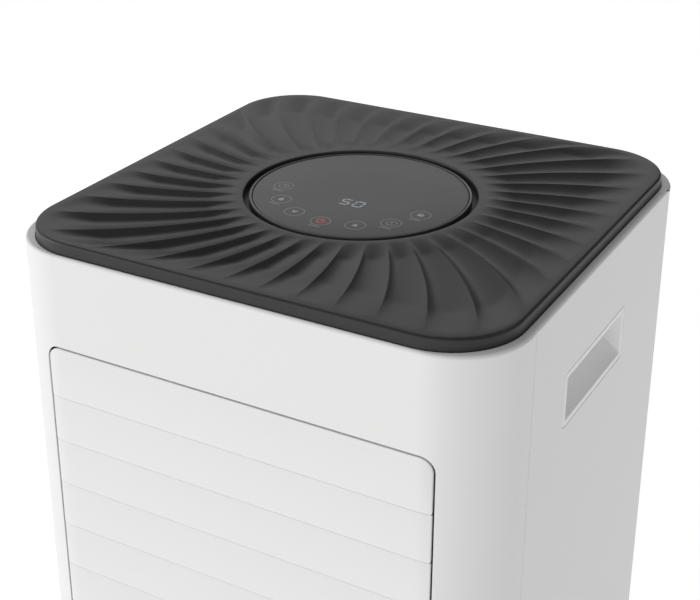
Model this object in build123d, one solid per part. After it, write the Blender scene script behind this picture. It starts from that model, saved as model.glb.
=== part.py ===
from build123d import *
import os
from math import cos, pi, radians, sin

# A free-standing compressor dehumidifier. A white cabinet of two wrap-round shells stands on a base pan
# with four swivel castors and carries a black top cover with a round touch control. Air comes in through
# the louvred intake panel at the front (-Y), crosses the cold and the hot coil, and leaves through the
# grille at the back (+Y). The water drips into a tank that slides out at the front.
# Millimetres. +Z is up, +X is the right-hand side seen from the front. The origin is on the floor, under
# the middle.

os.makedirs("parts", exist_ok=True)

# Cabinet
case_width = 352.0
case_depth = 340.0
total_height = 600.0
case_corner = 47.0
shell_wall = 2.5
seam_setback = 54.7  # from the front face to the seam between the two shells
seam_gap = 0.5
fit_gap = 0.4  # between pieces that sit inside one another
rim_drop = 8.0  # how far the shells' rim lies under the top cover
rim_thickness = 2.5
rim_round = 2.2
shell_bottom = 38.0
edge_round = 0.6

# Top cover and its round control
lid_side_inset = 6.0
lid_front_inset = 3.0
lid_corner = 48.0
lid_gap = 0.5
lid_plate = 6.0
lid_skirt_wall = 3.0
lid_skirt_height = 16.0
lid_round = 1.6
well_radius = 80.0  # hole in the top cover
ring_radius = 76.0
ring_wall = 2.0
ring_ledge = 2.4
glass_thickness = 3.0
glass_gap = 0.3
glass_drop = 0.8  # glass under the top of the cover
carrier_wall = 3.0
carrier_depth = 14.0
carrier_flange = 6.0
board_post_radius = 3.5
board_post_share = 0.85  # of the board's radius
board_radius = 66.0
board_thickness = 1.6
board_post_height = 6.0
touch_key_count = 7
touch_key_step = 25.0  # degrees between neighbouring keys
touch_key_circle = 54.5
touch_spring_radius = 4.5
touch_spring_wire = 0.6
digit_size = (20.0, 14.0)
digit_centre = (3.5, -18.0)

# Frame under the top cover
frame_lip = 20.0
frame_height = 12.0

# Intake panel
panel_width = 279.0
panel_corner = 9.0
panel_gap = 1.0
panel_drop = 75.2  # from the top of the cover to the top of the panel
first_slat = 37.0
slat_pitch = 33.8
slat_step = 0.5  # of a board's top behind the foot of the one above
least_band = 20.0  # of the case between the panel and the tank's front
slat_thickness = 2.2
slat_drop = 1.0  # open height between two boards
panel_depth = 12.0
panel_rail = 10.0
panel_rib = 2.0
hinge_pin_radius = 2.0
hinge_pin_in = 7.5  # length of each pin inside the panel
hinge_pin_out = 6.5  # and in the shell's lug
running_gap = 0.05
lug_width = 6.0
lug_reach = 4.5  # of the hinge lug, each way from the pin's middle
filter_depth = 4.0
filter_inset = 6.0
filter_bar = 3.0
filter_border = 8.0
filter_sheet = 0.8

# Water tank
tank_lift = 6.0  # of the tank on its rails
tank_front_drop = 1.0  # of the front under the tank's floor
tank_front_height = 162.0
tank_front_wall = 3.0
tank_side_room = 7.5  # from the tank to the edge of its front
tank_below_front = 16.0  # from the top of the front down to the tank's rim
tank_wall = 2.2
tank_corner = 12.0
tank_setback = 6.0  # tank body behind the front face
tank_depth = 174.0
grip_width = 130.0
grip_height = 24.0
grip_depth = 18.0
grip_wall = 2.0
grip_roof = 1.5
grip_below_top = 10.0
window_width = 14.0
window_height = 90.0
window_corner = 6.9
window_foot = 25.0  # over the foot of the tank's front
window_inset = 34.5
float_size = (30.0, 26.0, 14.0)
float_arm_length = 46.0
float_arm_width = 12.0
float_arm_thickness = 3.0
float_inset = 37.0
float_pivot_radius = 3.0
float_pivot_inset = 9.0  # from the tank's back wall
float_pivot_drop = 26.0  # from the tank's rim
float_round = 3.0
float_droop = 20.0  # degrees below level, in an empty tank
ear_thickness = 3.0
ear_reach = 5.0
niche_gap = 2.0

# Base pan and castors
base_bottom = 24.0
base_floor_thickness = 3.0
base_wall = 3.0
base_rim = 11.0
castor_inset_x = 48.0  # from the outside of the case
castor_inset_y = 48.0
wheel_radius = 20.0
wheel_width = 16.0
wheel_round = 2.0
axle_radius = 3.0
castor_offset = 14.0
fork_thickness = 2.5
fork_gap = 0.8
crown_gap = 2.0
crown_thickness = 3.0
stem_radius = 5.0
stem_seat = 10.0  # length of the stem in the boss
boss_wall = 5.0
crown_clearance = 1.0
crown_length = 34.0
crown_corner = 6.0
crown_shift = 4.0  # of the crown behind the stem
arm_front = 6.0
arm_back = 20.0
arm_eye = 7.0
arm_eye_drop = 4.0

# Grips in the sides
grip_cup_length = 108.0
grip_cup_height = 38.6
grip_cup_corner = 3.5
grip_cup_y = -7.0
grip_cup_drop = 63.2
grip_cup_border = 4.0
grip_cup_depth = 26.0
grip_cup_flange = 2.0
grip_cup_wall = 2.0
grip_cup_back = 9.0  # height of the straight back, above the slope that runs out at the foot

# Coils
coil_half_width = 120.0
coil_above_tray = 19.0
coil_head = 75.0  # least room over the coils, under the top frame
row_pitch = 30.0
tube_radius = 4.0
fin_thickness = 0.8
fin_pitch = 8.0
fin_depth = 22.0
fin_hole_gap = 0.15
evaporator_y = -130.0
condenser_y = -99.0
end_plate_thickness = 1.5
end_plate_margin = 3.0
end_plate_gap = 2.0
tube_reach = 5.0  # of a tube past the fins before it turns
coil_stub = 130.0

# Drip tray
tray_width = 336.0
tray_front = -150.0
tray_back = 18.0
tray_corner = 40.0
tray_above_tank = 6.0
tray_thickness = 3.0
tray_rim = 12.0
tray_wall = 2.0
bay_wall = 3.0
bay_gap = 4.0
bay_front = -145.0
switch_width = 18.0
switch_height = 28.0
switch_drop = 36.0
switch_gap = 1.0
rail_inset = 42.0
rail_width = 8.0
nozzle_radius = 8.0
nozzle_bore = 6.0
nozzle_length = 12.0
nozzle_y = -40.0

# Fan
fan_radius = 98.0
fan_hub_radius = 26.0
fan_front = -52.0
fan_depth = 32.0
blade_count = 5
blade_thickness = 2.4
blade_pitch = 34.0
blade_chord = 44.0
fan_tip_gap = 3.0
shroud_wall = 2.5
shroud_lip = 2.0
collar_length = 4.0  # of the collar past the fan
shroud_half_width = 131.0
shroud_front = -84.0
shroud_plate = -60.0
shaft_radius = 4.0
motor_radius = 34.0
motor_front = -8.0
motor_length = 52.0
motor_round = 4.0
motor_bore = 22.0
shaft_in_motor = 20.0
shaft_nose = 3.0
bracket_thickness = 4.0
bracket_arm = 12.0
bracket_border = 4.0
bracket_post_radius = 5.0
bracket_post_gap = 3.5

# Compressor
compressor_x = 60.0
compressor_y = 98.0
compressor_radius = 52.0
compressor_lift = 20.0
compressor_height = 190.0
compressor_wall = 3.0
compressor_round = 20.0
foot_angles = (30, 150, 270)
stator_bore = 25.0
terminal_radius = 17.0
terminal_height = 16.0
terminal_round = 5.0
terminal_offset = 18.0
stud_above = 4.0
washer_thickness = 1.2
washer_border = 1.0
stator_height = 70.0
foot_circle = 66.0
foot_width = 22.0
foot_end = 10.0
foot_thickness = 3.0
grommet_radius = 10.0
grommet_bore = 4.5
stud_radius = 4.0
nut_radius = 7.5
nut_height = 6.0
accumulator_radius = 18.0
accumulator_x = 135.0
accumulator_lift = 25.0
accumulator_height = 112.0
accumulator_round = 8.0
accumulator_loop = 9.0  # how far the pipe to the compressor dips under the can
pipe_radius = 4.0
drier_radius = 9.0
drier_length = 60.0
drier_place = (146.0, -70.0)
drier_lift = 45.0
drier_round = 4.0
drier_feed_radius = 3.0
pipe_bend = 12.0
small_bend = 8.0
capillary_bend = 10.0
capillary_over_coil = 14.0
discharge_rise = 32.0
discharge_offset = 25.0
riser_offset = 15.0
riser_spread = 4.0
pipe_socket = 3.0
capillary_radius = 1.2

# Electrics
power_box_depth = 34.0
power_box_front = -50.0
power_box_back = 70.0
power_box_bottom = 290.0
power_box_top = 470.0
power_box_wall = 2.2
post_inset = 14.0
post_radius = 3.0
post_height = 6.0
main_board_gap = 5.0
capacitor_inset = 22.0
capacitor_lift = 12.0
capacitor_radius = 11.0
capacitor_length = 55.0

# Back of the cabinet
outlet_width = 236.0
outlet_height = 186.0
outlet_corner = 8.0
outlet_z = 430.0
outlet_border = 8.0
outlet_depth = 8.0
outlet_lip = 4.0
outlet_slats = 13
outlet_slat_thickness = 1.8
outlet_slat_tilt = 30.0
outlet_slat_depth = 6.5
outlet_rib = 2.0
outlet_rib_set_in = 3.0
drain_x = -100.0
drain_above_tray = 4.0
drain_cup_radius = 22.0
drain_cup_depth = 26.0
drain_cup_wall = 2.0
drain_flange = 4.0
spout_radius = 7.0
spout_bore = 5.0
spout_set_in = 3.0
plug_stem = 14.0
plug_head_radius = 6.5
plug_gap = 0.05
gland_x = 110.0
gland_lift = 45.0
gland_radius = 14.0
gland_body = 10.0
gland_bore = 3.8
gland_length = 20.0
gland_flange = 3.0
screw_radius = 2.0
screw_head_radius = 4.2
screw_head_height = 1.4
screw_length = 12.0
screw_set_in = 0.2
screw_slot = 1.0
screw_slot_depth = 1.0
screw_x = 100.0

# Places that follow from the sizes above
face = -case_depth / 2
back = case_depth / 2
side = case_width / 2
seam = face + seam_setback
inner_width = case_width - 2 * shell_wall
inner_depth = case_depth - 2 * shell_wall
inner_corner = case_corner - shell_wall
inner_back = back - shell_wall
rim_top = total_height - rim_drop
opening_back = face + shell_wall + case_corner / 5  # past the wall where it turns the corner
lid_width = case_width - 2 * lid_side_inset
lid_depth = case_depth - 2 * lid_front_inset
lid_under = total_height - lid_plate
lid_foot = total_height - lid_skirt_height
panel_top = total_height - panel_drop
base_floor = 2 * wheel_radius + crown_gap + crown_thickness + stem_seat
tank_bottom = base_floor + tank_lift
tank_front_bottom = tank_bottom - tank_front_drop
tank_front_top = tank_front_bottom + tank_front_height
tank_top = tank_front_top - tank_below_front
tank_width = panel_width - 2 * tank_side_room
window_x = window_inset - panel_width / 2
float_x = tank_width / 2 - float_inset
rail_x = tank_width / 2 - rail_inset
tray_floor = tank_front_top + tray_above_tank
first_line = panel_top - first_slat
slat_count = 1 + int((first_line - tank_front_top - least_band) / slat_pitch)
panel_bottom = first_line - (slat_count - 1) * slat_pitch
panel_pivot_y = face + panel_corner
panel_pivot_z = panel_bottom + panel_corner
tank_y = face + tank_setback
tank_back = tank_y + tank_depth
base_width = inner_width - 2 * fit_gap
base_depth = inner_depth - 2 * fit_gap
base_corner = inner_corner - fit_gap
castor_x = side - castor_inset_x
castor_y = back - castor_inset_y
castor_places = {
    "front_left": (-castor_x, -castor_y),
    "front_right": (castor_x, -castor_y),
    "rear_left": (-castor_x, castor_y),
    "rear_right": (castor_x, castor_y),
}
coil_bottom = tray_floor + coil_above_tray
coil_rows = 2 * int((lid_foot - frame_height - coil_head - coil_bottom) / (2 * row_pitch))
coil_top = coil_bottom + coil_rows * row_pitch
fan_z = (coil_bottom + coil_top) / 2
bracket_post_circle = fan_radius + fan_tip_gap + shroud_wall + bracket_post_radius + bracket_post_gap
compressor_bottom = base_floor + compressor_lift
compressor_top = compressor_bottom + compressor_height
accumulator_bottom = compressor_bottom + accumulator_lift
drier_bottom = coil_bottom + drier_lift
drain_z = tray_floor + drain_above_tray
gland_z = base_floor + gland_lift
float_pivot_y = tank_back - tank_wall - float_pivot_inset
float_pivot_z = tank_top - float_pivot_drop
row_heights = [coil_bottom + row_pitch / 2 + row_pitch * row for row in range(coil_rows)]
grip_cup_top = total_height - grip_cup_drop


def block(x0, x1, y0, y1, z0, z1):
    """A box between two limits on each axis."""
    return Pos((x0 + x1) / 2, (y0 + y1) / 2, (z0 + z1) / 2) * Box(x1 - x0, y1 - y0, z1 - z0)


def slab(width, depth, low, high, corner, y=0.0):
    """An upright block with rounded vertical edges, between two heights."""
    return extrude(Pos(0, y, low) * RectangleRounded(width, depth, corner), high - low)


def plate(width, low, high, corner, y0, y1, x=0.0):
    """A board that stands across the cabinet, with rounded corners seen from the front."""
    plane = Plane(origin=(x, y0, (low + high) / 2), x_dir=(1, 0, 0), z_dir=(0, 1, 0))
    return extrude(plane * RectangleRounded(width, high - low, corner), y1 - y0)


def rod_x(radius, x0, x1, y, z):
    """A round bar along X."""
    return Pos((x0 + x1) / 2, y, z) * Rot(0, 90, 0) * Cylinder(radius, abs(x1 - x0))


def rod_y(radius, x, y0, y1, z):
    """A round bar along Y."""
    return Pos(x, (y0 + y1) / 2, z) * Rot(90, 0, 0) * Cylinder(radius, abs(y1 - y0))


def rod_z(radius, x, y, z0, z1):
    """A round bar along Z."""
    return Pos(x, y, (z0 + z1) / 2) * Cylinder(radius, z1 - z0)


def profile_x(points, x0, x1):
    """An outline of (y, z) points, drawn out along X."""
    outline = make_face(Polyline([(x0, y, z) for y, z in points], close=True))
    return extrude(outline, x1 - x0, dir=(1, 0, 0))


def pipe(points, radius, bend):
    """A tube through the points, with its corners bent to one radius."""
    path = FilletPolyline(points, radius=bend)
    return sweep(Plane(origin=path @ 0, z_dir=path % 0) * Circle(radius), path)


def save(name, *shapes):
    """Writes one node. Several shapes stay separate solids in it."""
    solids = [solid for shape in shapes for solid in shape.solids()]
    export_step(solids[0] if len(solids) == 1 else Compound(children=solids), f"parts/{name}.step")


# Two shells, cut from one wrap-round tube with a rim that turns in under the top cover

def shell_tube():
    outer = slab(case_width, case_depth, shell_bottom, rim_top, case_corner)
    outer = fillet(outer.edges().group_by(Axis.Z)[-1], rim_round)
    cavity = slab(inner_width, inner_depth, shell_bottom, rim_top - rim_thickness, inner_corner)
    mouth_width = lid_width + 2 * lid_gap
    mouth_depth = lid_depth + 2 * lid_gap
    mouth = slab(mouth_width, mouth_depth, rim_top - rim_thickness, rim_top, lid_corner + lid_gap)
    return outer - cavity - mouth


def case_outline(low, high):
    """The outside of the case, which the panels in its front follow."""
    return slab(case_width, case_depth, low, high, case_corner)


def front_shell(tube):
    shell = tube & block(-side, side, face, seam, shell_bottom, rim_top)
    opening_half = panel_width / 2 + panel_gap
    for low, high in ((panel_bottom, panel_top), (tank_front_bottom, tank_front_top)):
        low, high, corner = low - panel_gap, high + panel_gap, panel_corner + panel_gap
        shell = shell - plate(2 * opening_half, low, high, corner, face, opening_back)
    for sign in (-1, 1):
        x0, x1 = sorted((sign * opening_half, sign * (opening_half + lug_width)))
        low, high = panel_pivot_z - lug_reach, panel_pivot_z + lug_reach
        lug = block(x0, x1, face, panel_pivot_y + lug_reach, low, high) & case_outline(low, high)
        hole = rod_x(hinge_pin_radius + running_gap, x0, x1, panel_pivot_y, panel_pivot_z)
        shell = shell + lug - hole
    return shell


def grip_outline(x, grow):
    """The side grip's opening on a plane of constant X, grown by a margin."""
    middle = grip_cup_top - grip_cup_height / 2
    plane = Plane(origin=(x, grip_cup_y, middle), x_dir=(0, 1, 0), z_dir=(1, 0, 0))
    length, height = grip_cup_length + 2 * grow, grip_cup_height + 2 * grow
    return plane * RectangleRounded(length, height, grip_cup_corner + grow)


def screw_places():
    """The (x, z) places of the screws in the back."""
    heights = (base_floor + base_rim / 2, lid_foot - frame_height / 2 - base_wall / 2)
    return [(x, z) for z in heights for x in (-screw_x, screw_x)]


def rear_shell(tube):
    shell = tube & block(-side, side, seam + seam_gap, back, shell_bottom, rim_top)
    for sign in (-1, 1):
        cut = extrude(grip_outline(sign * side, fit_gap), sign * -shell_wall, dir=(1, 0, 0))
        shell = shell - cut
    low, high = outlet_z - outlet_height / 2 - fit_gap, outlet_z + outlet_height / 2 + fit_gap
    width, corner = outlet_width + 2 * fit_gap, outlet_corner + fit_gap
    shell = shell - plate(width, low, high, corner, inner_back, back)
    shell = shell - rod_y(drain_cup_radius + fit_gap, drain_x, inner_back, back, drain_z)
    shell = shell - rod_y(gland_radius + fit_gap, gland_x, inner_back, back, gland_z)
    for x, z in screw_places():
        shell = shell - rod_y(screw_radius + running_gap, x, inner_back, back, z)
        shell = shell - rod_y(screw_head_radius + fit_gap, x, back - screw_head_height, back, z)
    return shell


def case_screws():
    """Pan-head screws with a cross recess, in the back."""
    screws = []
    for x, z in screw_places():
        head = rod_y(screw_head_radius, x, back - screw_head_height, back - screw_set_in, z)
        shank = rod_y(screw_radius, x, back - screw_length, back - screw_head_height, z)
        arm, half = screw_radius, screw_slot / 2
        slot = block(x - arm, x + arm, back - screw_slot_depth, back, z - half, z + half)
        slot = slot + block(x - half, x + half, back - screw_slot_depth, back, z - arm, z + arm)
        screws.append(head + shank - slot)
    return screws


# Side grips: a flanged scoop each, deep under its upper edge and running out to nothing at its foot

def grip_cup(sign):
    mouth_top = grip_cup_top - grip_cup_border
    mouth_foot = grip_cup_top - grip_cup_height + grip_cup_border
    mouth_length = grip_cup_length - 2 * grip_cup_border
    wall = grip_cup_wall
    deep = side - grip_cup_depth
    pocket = [
        (side, mouth_top),
        (deep, mouth_top),
        (deep, mouth_top - grip_cup_back),
        (side, mouth_foot),
    ]
    shell = [
        (side - grip_cup_flange, mouth_top + wall),
        (deep - wall, mouth_top + wall),
        (deep - wall, mouth_top - grip_cup_back - wall / 2),
        (side - grip_cup_flange, mouth_foot - wall / 2),
    ]

    def drawn(points, length):
        corners = [(sign * x, grip_cup_y - length / 2, z) for x, z in points]
        return extrude(make_face(Polyline(corners, close=True)), length, dir=(0, 1, 0))

    flange = extrude(grip_outline(sign * side, 0), sign * -grip_cup_flange, dir=(1, 0, 0))
    return flange + drawn(shell, mouth_length + 2 * wall) - drawn(pocket, mouth_length)


# Top cover, the frame it stands on, and the round control in its middle

def top_cover():
    lid = slab(lid_width, lid_depth, lid_foot, total_height, lid_corner)
    lid = fillet(lid.edges().group_by(Axis.Z)[-1], lid_round)
    inner = slab(
        lid_width - 2 * lid_skirt_wall,
        lid_depth - 2 * lid_skirt_wall,
        lid_foot,
        lid_under,
        lid_corner - lid_skirt_wall,
    )
    lid = lid - inner - rod_z(well_radius, 0, 0, lid_under, total_height)
    rims = lid.edges().filter_by(GeomType.CIRCLE).filter_by(lambda edge: edge.radius > lid_corner)
    return fillet(rims.group_by(Axis.Z)[-1], edge_round)


def top_frame():
    frame_width, frame_depth, corner = base_width, base_depth, base_corner
    low = lid_foot - frame_height
    frame = slab(frame_width, frame_depth, low, lid_foot, corner)
    under = lid_foot - base_wall
    hollow_width, hollow_depth = frame_width - 2 * base_wall, frame_depth - 2 * base_wall
    below = slab(hollow_width, hollow_depth, low, under, corner - base_wall)
    window_width, window_depth = frame_width - 2 * frame_lip, frame_depth - 2 * frame_lip
    window = slab(window_width, window_depth, under, lid_foot, corner - frame_lip)
    frame = frame - below - window
    for x, z in screw_places():
        frame = frame - rod_y(screw_radius + running_gap, x, inner_back - screw_length, inner_back, z)
    return frame


def ring_section(inner, outer, low, high):
    """A plain ring round the middle of the control."""
    return rod_z(outer, 0, 0, low, high) - rod_z(inner, 0, 0, low, high)


glass_top = total_height - glass_drop
glass_foot = glass_top - glass_thickness
glass_radius = ring_radius - ring_wall - glass_gap


def control_ring():
    ring = ring_section(ring_radius - ring_wall, ring_radius, lid_under, glass_top + glass_drop / 2)
    return ring + ring_section(ring_radius - ring_wall - ring_ledge, ring_radius, lid_under, glass_foot)


def control_glass():
    glass = rod_z(glass_radius, 0, 0, glass_foot, glass_top)
    return fillet(glass.edges().group_by(Axis.Z)[-1], edge_round / 2)


carrier_low = lid_under - carrier_depth
board_low = carrier_low + carrier_wall + board_post_height - carrier_wall / 2
board_top = board_low + board_thickness


def display_carrier():
    outer = well_radius + carrier_flange
    dish = rod_z(outer, 0, 0, carrier_low, lid_under)
    dish = dish - rod_z(ring_radius - ring_wall - ring_ledge, 0, 0, carrier_low + carrier_wall, lid_under)
    for angle in (45, 135, 225, 315):
        reach = board_post_share * board_radius
        x, y = reach * cos(radians(angle)), reach * sin(radians(angle))
        dish = dish + rod_z(board_post_radius, x, y, carrier_low + carrier_wall, board_low)
    return dish


def key_places():
    """The touch keys lie on an arc along the front of the glass."""
    half = (touch_key_count - 1) / 2
    angles = [radians(-90 + (key - half) * touch_key_step) for key in range(touch_key_count)]
    return [(touch_key_circle * cos(angle), touch_key_circle * sin(angle)) for angle in angles]


def touch_springs():
    """Coiled contact springs between the board and the glass, as thin sleeves."""
    bore = touch_spring_radius - touch_spring_wire
    return [
        rod_z(touch_spring_radius, x, y, board_top, glass_foot) - rod_z(bore, x, y, board_top, glass_foot)
        for x, y in key_places()
    ]


def digit_display():
    x, y = digit_centre
    width, depth = digit_size
    return block(x - width / 2, x + width / 2, y - depth / 2, y + depth / 2, board_top, glass_foot)


# Intake panel: overlapping boards on two rails and three ribs, on two pins in a foot that is round about them

def slat_lines():
    """Heights of the boards' lower edges, from the top down."""
    return [first_line - slat_pitch * slat for slat in range(slat_count)]


def intake_grille():
    half = panel_width / 2
    rear = face + panel_depth
    lines = slat_lines()
    body = None
    for slat, low in enumerate(lines):
        high = panel_top if slat == 0 else lines[slat - 1] - slat_drop
        step = 0.0 if slat == 0 else slat_step
        front_top = face + step
        rear_top, rear_low = front_top + slat_thickness, face + slat_thickness
        corners = [(face, low), (front_top, high), (rear_top, high), (rear_low, low)]
        board = profile_x(corners, -half, half)
        body = board if body is None else body + board
    rail_front = face + slat_thickness / 2
    for sign in (-1, 1):
        x0, x1 = sorted((sign * half, sign * (half - panel_rail)))
        rail_points = [
            (rail_front + slat_step, panel_bottom),
            (rail_front + slat_step, panel_top),
            (rear, panel_top),
            (rear, panel_bottom),
        ]
        body = body + profile_x(rail_points, x0, x1)
    for rib in (-1, 0, 1):
        x0 = rib * panel_width / 4 - panel_rib / 2
        body = body + block(x0, x0 + panel_rib, rail_front + slat_step, rear, panel_bottom, panel_top)
    body = body + block(-half, half, rail_front, rear, panel_top - filter_border, panel_top)
    body = body + block(-half, half, rail_front, rear, panel_pivot_z, panel_pivot_z + filter_border)
    body = body - block(-half, half, face, rear, panel_bottom, panel_pivot_z)
    body = body & plate(panel_width, panel_bottom, panel_top, panel_corner, face, rear)
    foot = rod_x(panel_corner, -half, half, panel_pivot_y, panel_pivot_z)
    body = body + fillet(foot.edges().filter_by(GeomType.CIRCLE), panel_corner - edge_round / 2)
    body = body & case_outline(panel_bottom, panel_top)
    for sign in (-1, 1):
        x0, x1 = sorted((sign * (half - hinge_pin_in), sign * half))
        body = body - rod_x(hinge_pin_radius, x0, x1, panel_pivot_y, panel_pivot_z)
    return body


def hinge_pins():
    half = panel_width / 2
    pins = []
    for sign in (-1, 1):
        x0, x1 = sorted((sign * (half - hinge_pin_in), sign * (half + hinge_pin_out)))
        pins.append(rod_x(hinge_pin_radius, x0, x1, panel_pivot_y, panel_pivot_z))
    return pins


filter_low = panel_pivot_z + panel_corner + fit_gap
filter_high = panel_top - filter_border / 2
filter_front = face + panel_depth
filter_half = panel_width / 2 - filter_inset


def filter_frame():
    rear = filter_front + filter_depth
    frame = block(-filter_half, filter_half, filter_front, rear, filter_low, filter_high)
    hole_low, hole_high = filter_low + filter_border, filter_high - filter_border
    hole_half = filter_half - filter_border
    frame = frame - block(-hole_half, hole_half, filter_front, rear, hole_low, hole_high)
    sheet_back = filter_front + (filter_depth + filter_sheet) / 2
    for bar in (-1, 0, 1):
        x0 = bar * filter_half / 2 - filter_bar / 2
        frame = frame + block(x0, x0 + filter_bar, sheet_back, rear, hole_low, hole_high)
    return frame


def filter_mesh():
    hole_low, hole_high = filter_low + filter_border, filter_high - filter_border
    hole_half = filter_half - filter_border
    front = filter_front + (filter_depth - filter_sheet) / 2
    return block(-hole_half, hole_half, front, front + filter_sheet, hole_low, hole_high)


# Water tank with its front, level window and float

def water_tank():
    middle = (tank_y + tank_back) / 2
    tank = slab(tank_width, tank_depth, tank_bottom, tank_top, tank_corner, y=middle)
    inside = slab(
        tank_width - 2 * tank_wall,
        tank_depth - 2 * tank_wall,
        tank_bottom + tank_wall,
        tank_top,
        tank_corner - tank_wall,
        y=middle,
    )
    tank = tank - inside
    niche_half = grip_width / 2 + grip_wall + niche_gap
    niche_back = face + grip_depth + grip_wall + fit_gap
    niche_foot = tank_front_top - grip_below_top - grip_height - grip_wall - fit_gap
    outer, rear, foot = niche_half + tank_wall, niche_back + tank_wall, niche_foot - tank_wall
    tank = tank + block(-outer, outer, tank_y, rear, foot, tank_top)
    tank = tank - block(-niche_half, niche_half, tank_y, niche_back, niche_foot, tank_top)
    ear_low, ear_high = float_pivot_z - ear_reach, float_pivot_z + ear_reach
    for x0 in (float_x - float_arm_width, float_x + float_arm_width - ear_thickness):
        x1, y0, y1 = x0 + ear_thickness, float_pivot_y - ear_reach, tank_back - tank_wall
        tank = tank + block(x0, x1, y0, y1, ear_low, ear_high)
    x0, x1 = float_x - float_arm_width, float_x + float_arm_width
    return tank - rod_x(float_pivot_radius + running_gap, x0, x1, float_pivot_y, float_pivot_z)


def drooped(shape):
    """The float and its arm as they hang in an empty tank."""
    return shape.rotate(Axis((0, float_pivot_y, float_pivot_z), (1, 0, 0)), float_droop)


def float_arm():
    x0, x1 = float_x - float_arm_width, float_x + float_arm_width
    pin = rod_x(float_pivot_radius, x0, x1, float_pivot_y, float_pivot_z)
    x0, x1 = float_x - float_arm_width / 2, float_x + float_arm_width / 2
    low, high = float_pivot_z - float_arm_thickness / 2, float_pivot_z + float_arm_thickness / 2
    return drooped(pin + block(x0, x1, float_pivot_y - float_arm_length, float_pivot_y, low, high))


def float_block():
    width, depth, height = float_size
    top = float_pivot_z - float_arm_thickness / 2
    rear = float_pivot_y - float_arm_length + depth
    x0, x1 = float_x - width / 2, float_x + width / 2
    body = block(x0, x1, rear - depth, rear, top - height, top)
    return drooped(fillet(body.edges().filter_by(Axis.Z), float_round))


def grip_box(grow, front):
    """The hollow behind the tank front that the fingers go into, grown by a wall."""
    half = grip_width / 2 + grow
    top = tank_front_top - grip_below_top
    roof = top + min(grow, grip_roof)
    return block(-half, half, front, face + grip_depth + grow, top - grip_height - grow, roof)


def tank_front():
    low, high = tank_front_bottom, tank_front_top
    front = plate(panel_width, low, high, panel_corner, face, face + tank_front_wall)
    front = front & case_outline(low, high)
    return front + grip_box(grip_wall, face + tank_front_wall / 2) - grip_box(0, face) - level_window()


def level_window():
    low, high = tank_front_bottom + window_foot, tank_front_bottom + window_foot + window_height
    return plate(window_width, low, high, window_corner, face, face + tank_front_wall, x=window_x)


# Base pan and castors

def base_pan():
    pan = slab(base_width, base_depth, base_bottom, base_floor + base_rim, base_corner)
    hollow_width, hollow_depth = base_width - 2 * base_wall, base_depth - 2 * base_wall
    floor_under = base_floor - base_floor_thickness
    under = slab(hollow_width, hollow_depth, base_bottom, floor_under, base_corner - base_wall)
    above = slab(hollow_width, hollow_depth, base_floor, base_floor + base_rim, base_corner - base_wall)
    pan = pan - under - above
    way_half = panel_width / 2 + panel_gap
    pan = pan - block(-way_half, way_half, face, bay_front, tank_front_bottom, base_floor + base_rim)
    for x in (-rail_x, rail_x):
        x0, x1 = x - rail_width / 2, x + rail_width / 2
        pan = pan + block(x0, x1, bay_front, tank_back, base_floor, tank_bottom - running_gap)
    crown_top = 2 * wheel_radius + crown_gap + crown_thickness
    for x, y in castor_places.values():
        pan = pan + rod_z(stem_radius + boss_wall, x, y, crown_top + crown_clearance, base_floor)
        pan = pan - rod_z(stem_radius + running_gap, x, y, crown_top, base_floor)
    for x, z in screw_places():
        pan = pan - rod_y(screw_radius + running_gap, x, inner_back - screw_length, inner_back, z)
    return pan


def castor_fork(x, y):
    """Stem, crown and two arms, with the axle through them. The wheel trails towards the back."""
    crown_low = 2 * wheel_radius + crown_gap
    crown_top = crown_low + crown_thickness
    inner = wheel_width / 2 + fork_gap
    outer = inner + fork_thickness
    axle_y = y + castor_offset
    crown = slab(2 * outer, crown_length, crown_low, crown_top, crown_corner, y=crown_shift)
    crown = crown.moved(Location((x, y, 0)))
    fork = crown + rod_z(stem_radius, x, y, crown_low, base_floor)
    for sign in (-1, 1):
        x0, x1 = sorted((x + sign * inner, x + sign * outer))
        arm = profile_x(
            [
                (y - arm_front, crown_low),
                (axle_y - arm_eye, wheel_radius - arm_eye_drop),
                (axle_y, wheel_radius - arm_eye),
                (axle_y + arm_eye, wheel_radius - arm_eye_drop),
                (y + arm_back, crown_low),
            ],
            x0,
            x1,
        )
        fork = fork + arm - rod_x(axle_radius, x0, x1, axle_y, wheel_radius)
    axle = rod_x(axle_radius, x - outer, x + outer, axle_y, wheel_radius)
    return fork, axle


def castor_wheel(x, y):
    axle_y = y + castor_offset
    x0, x1 = x - wheel_width / 2, x + wheel_width / 2
    wheel = rod_x(wheel_radius, x0, x1, axle_y, wheel_radius)
    wheel = fillet(wheel.edges().filter_by(GeomType.CIRCLE), wheel_round)
    return wheel - rod_x(axle_radius + running_gap, x0, x1, axle_y, wheel_radius)


# Drip tray, coils and refrigerant circuit

def drip_tray():
    middle = (tray_front + tray_back) / 2
    depth = tray_back - tray_front
    tray = slab(tray_width, depth, tray_floor, tray_floor + tray_thickness + tray_rim, tray_corner, y=middle)
    basin = slab(
        tray_width - 2 * tray_wall,
        depth - 2 * tray_wall,
        tray_floor + tray_thickness,
        tray_floor + tray_thickness + tray_rim,
        tray_corner - tray_wall,
        y=middle,
    )
    tray = tray - basin
    tray = tray + rod_z(nozzle_radius, 0, nozzle_y, tray_floor - nozzle_length, tray_floor)
    tray = tray - rod_z(nozzle_bore, 0, nozzle_y, tray_floor - nozzle_length, tray_floor + tray_thickness)
    return tray


def tank_bay():
    """Side walls and a back wall round the tank, which carry the drip tray and shield the tank."""
    half = tank_width / 2 + bay_gap + bay_wall
    bay = block(-half, half, bay_front, tray_back, base_floor, tray_floor)
    inner = half - bay_wall
    return bay - block(-inner, inner, bay_front, tray_back - bay_wall, base_floor, tray_floor)


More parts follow.
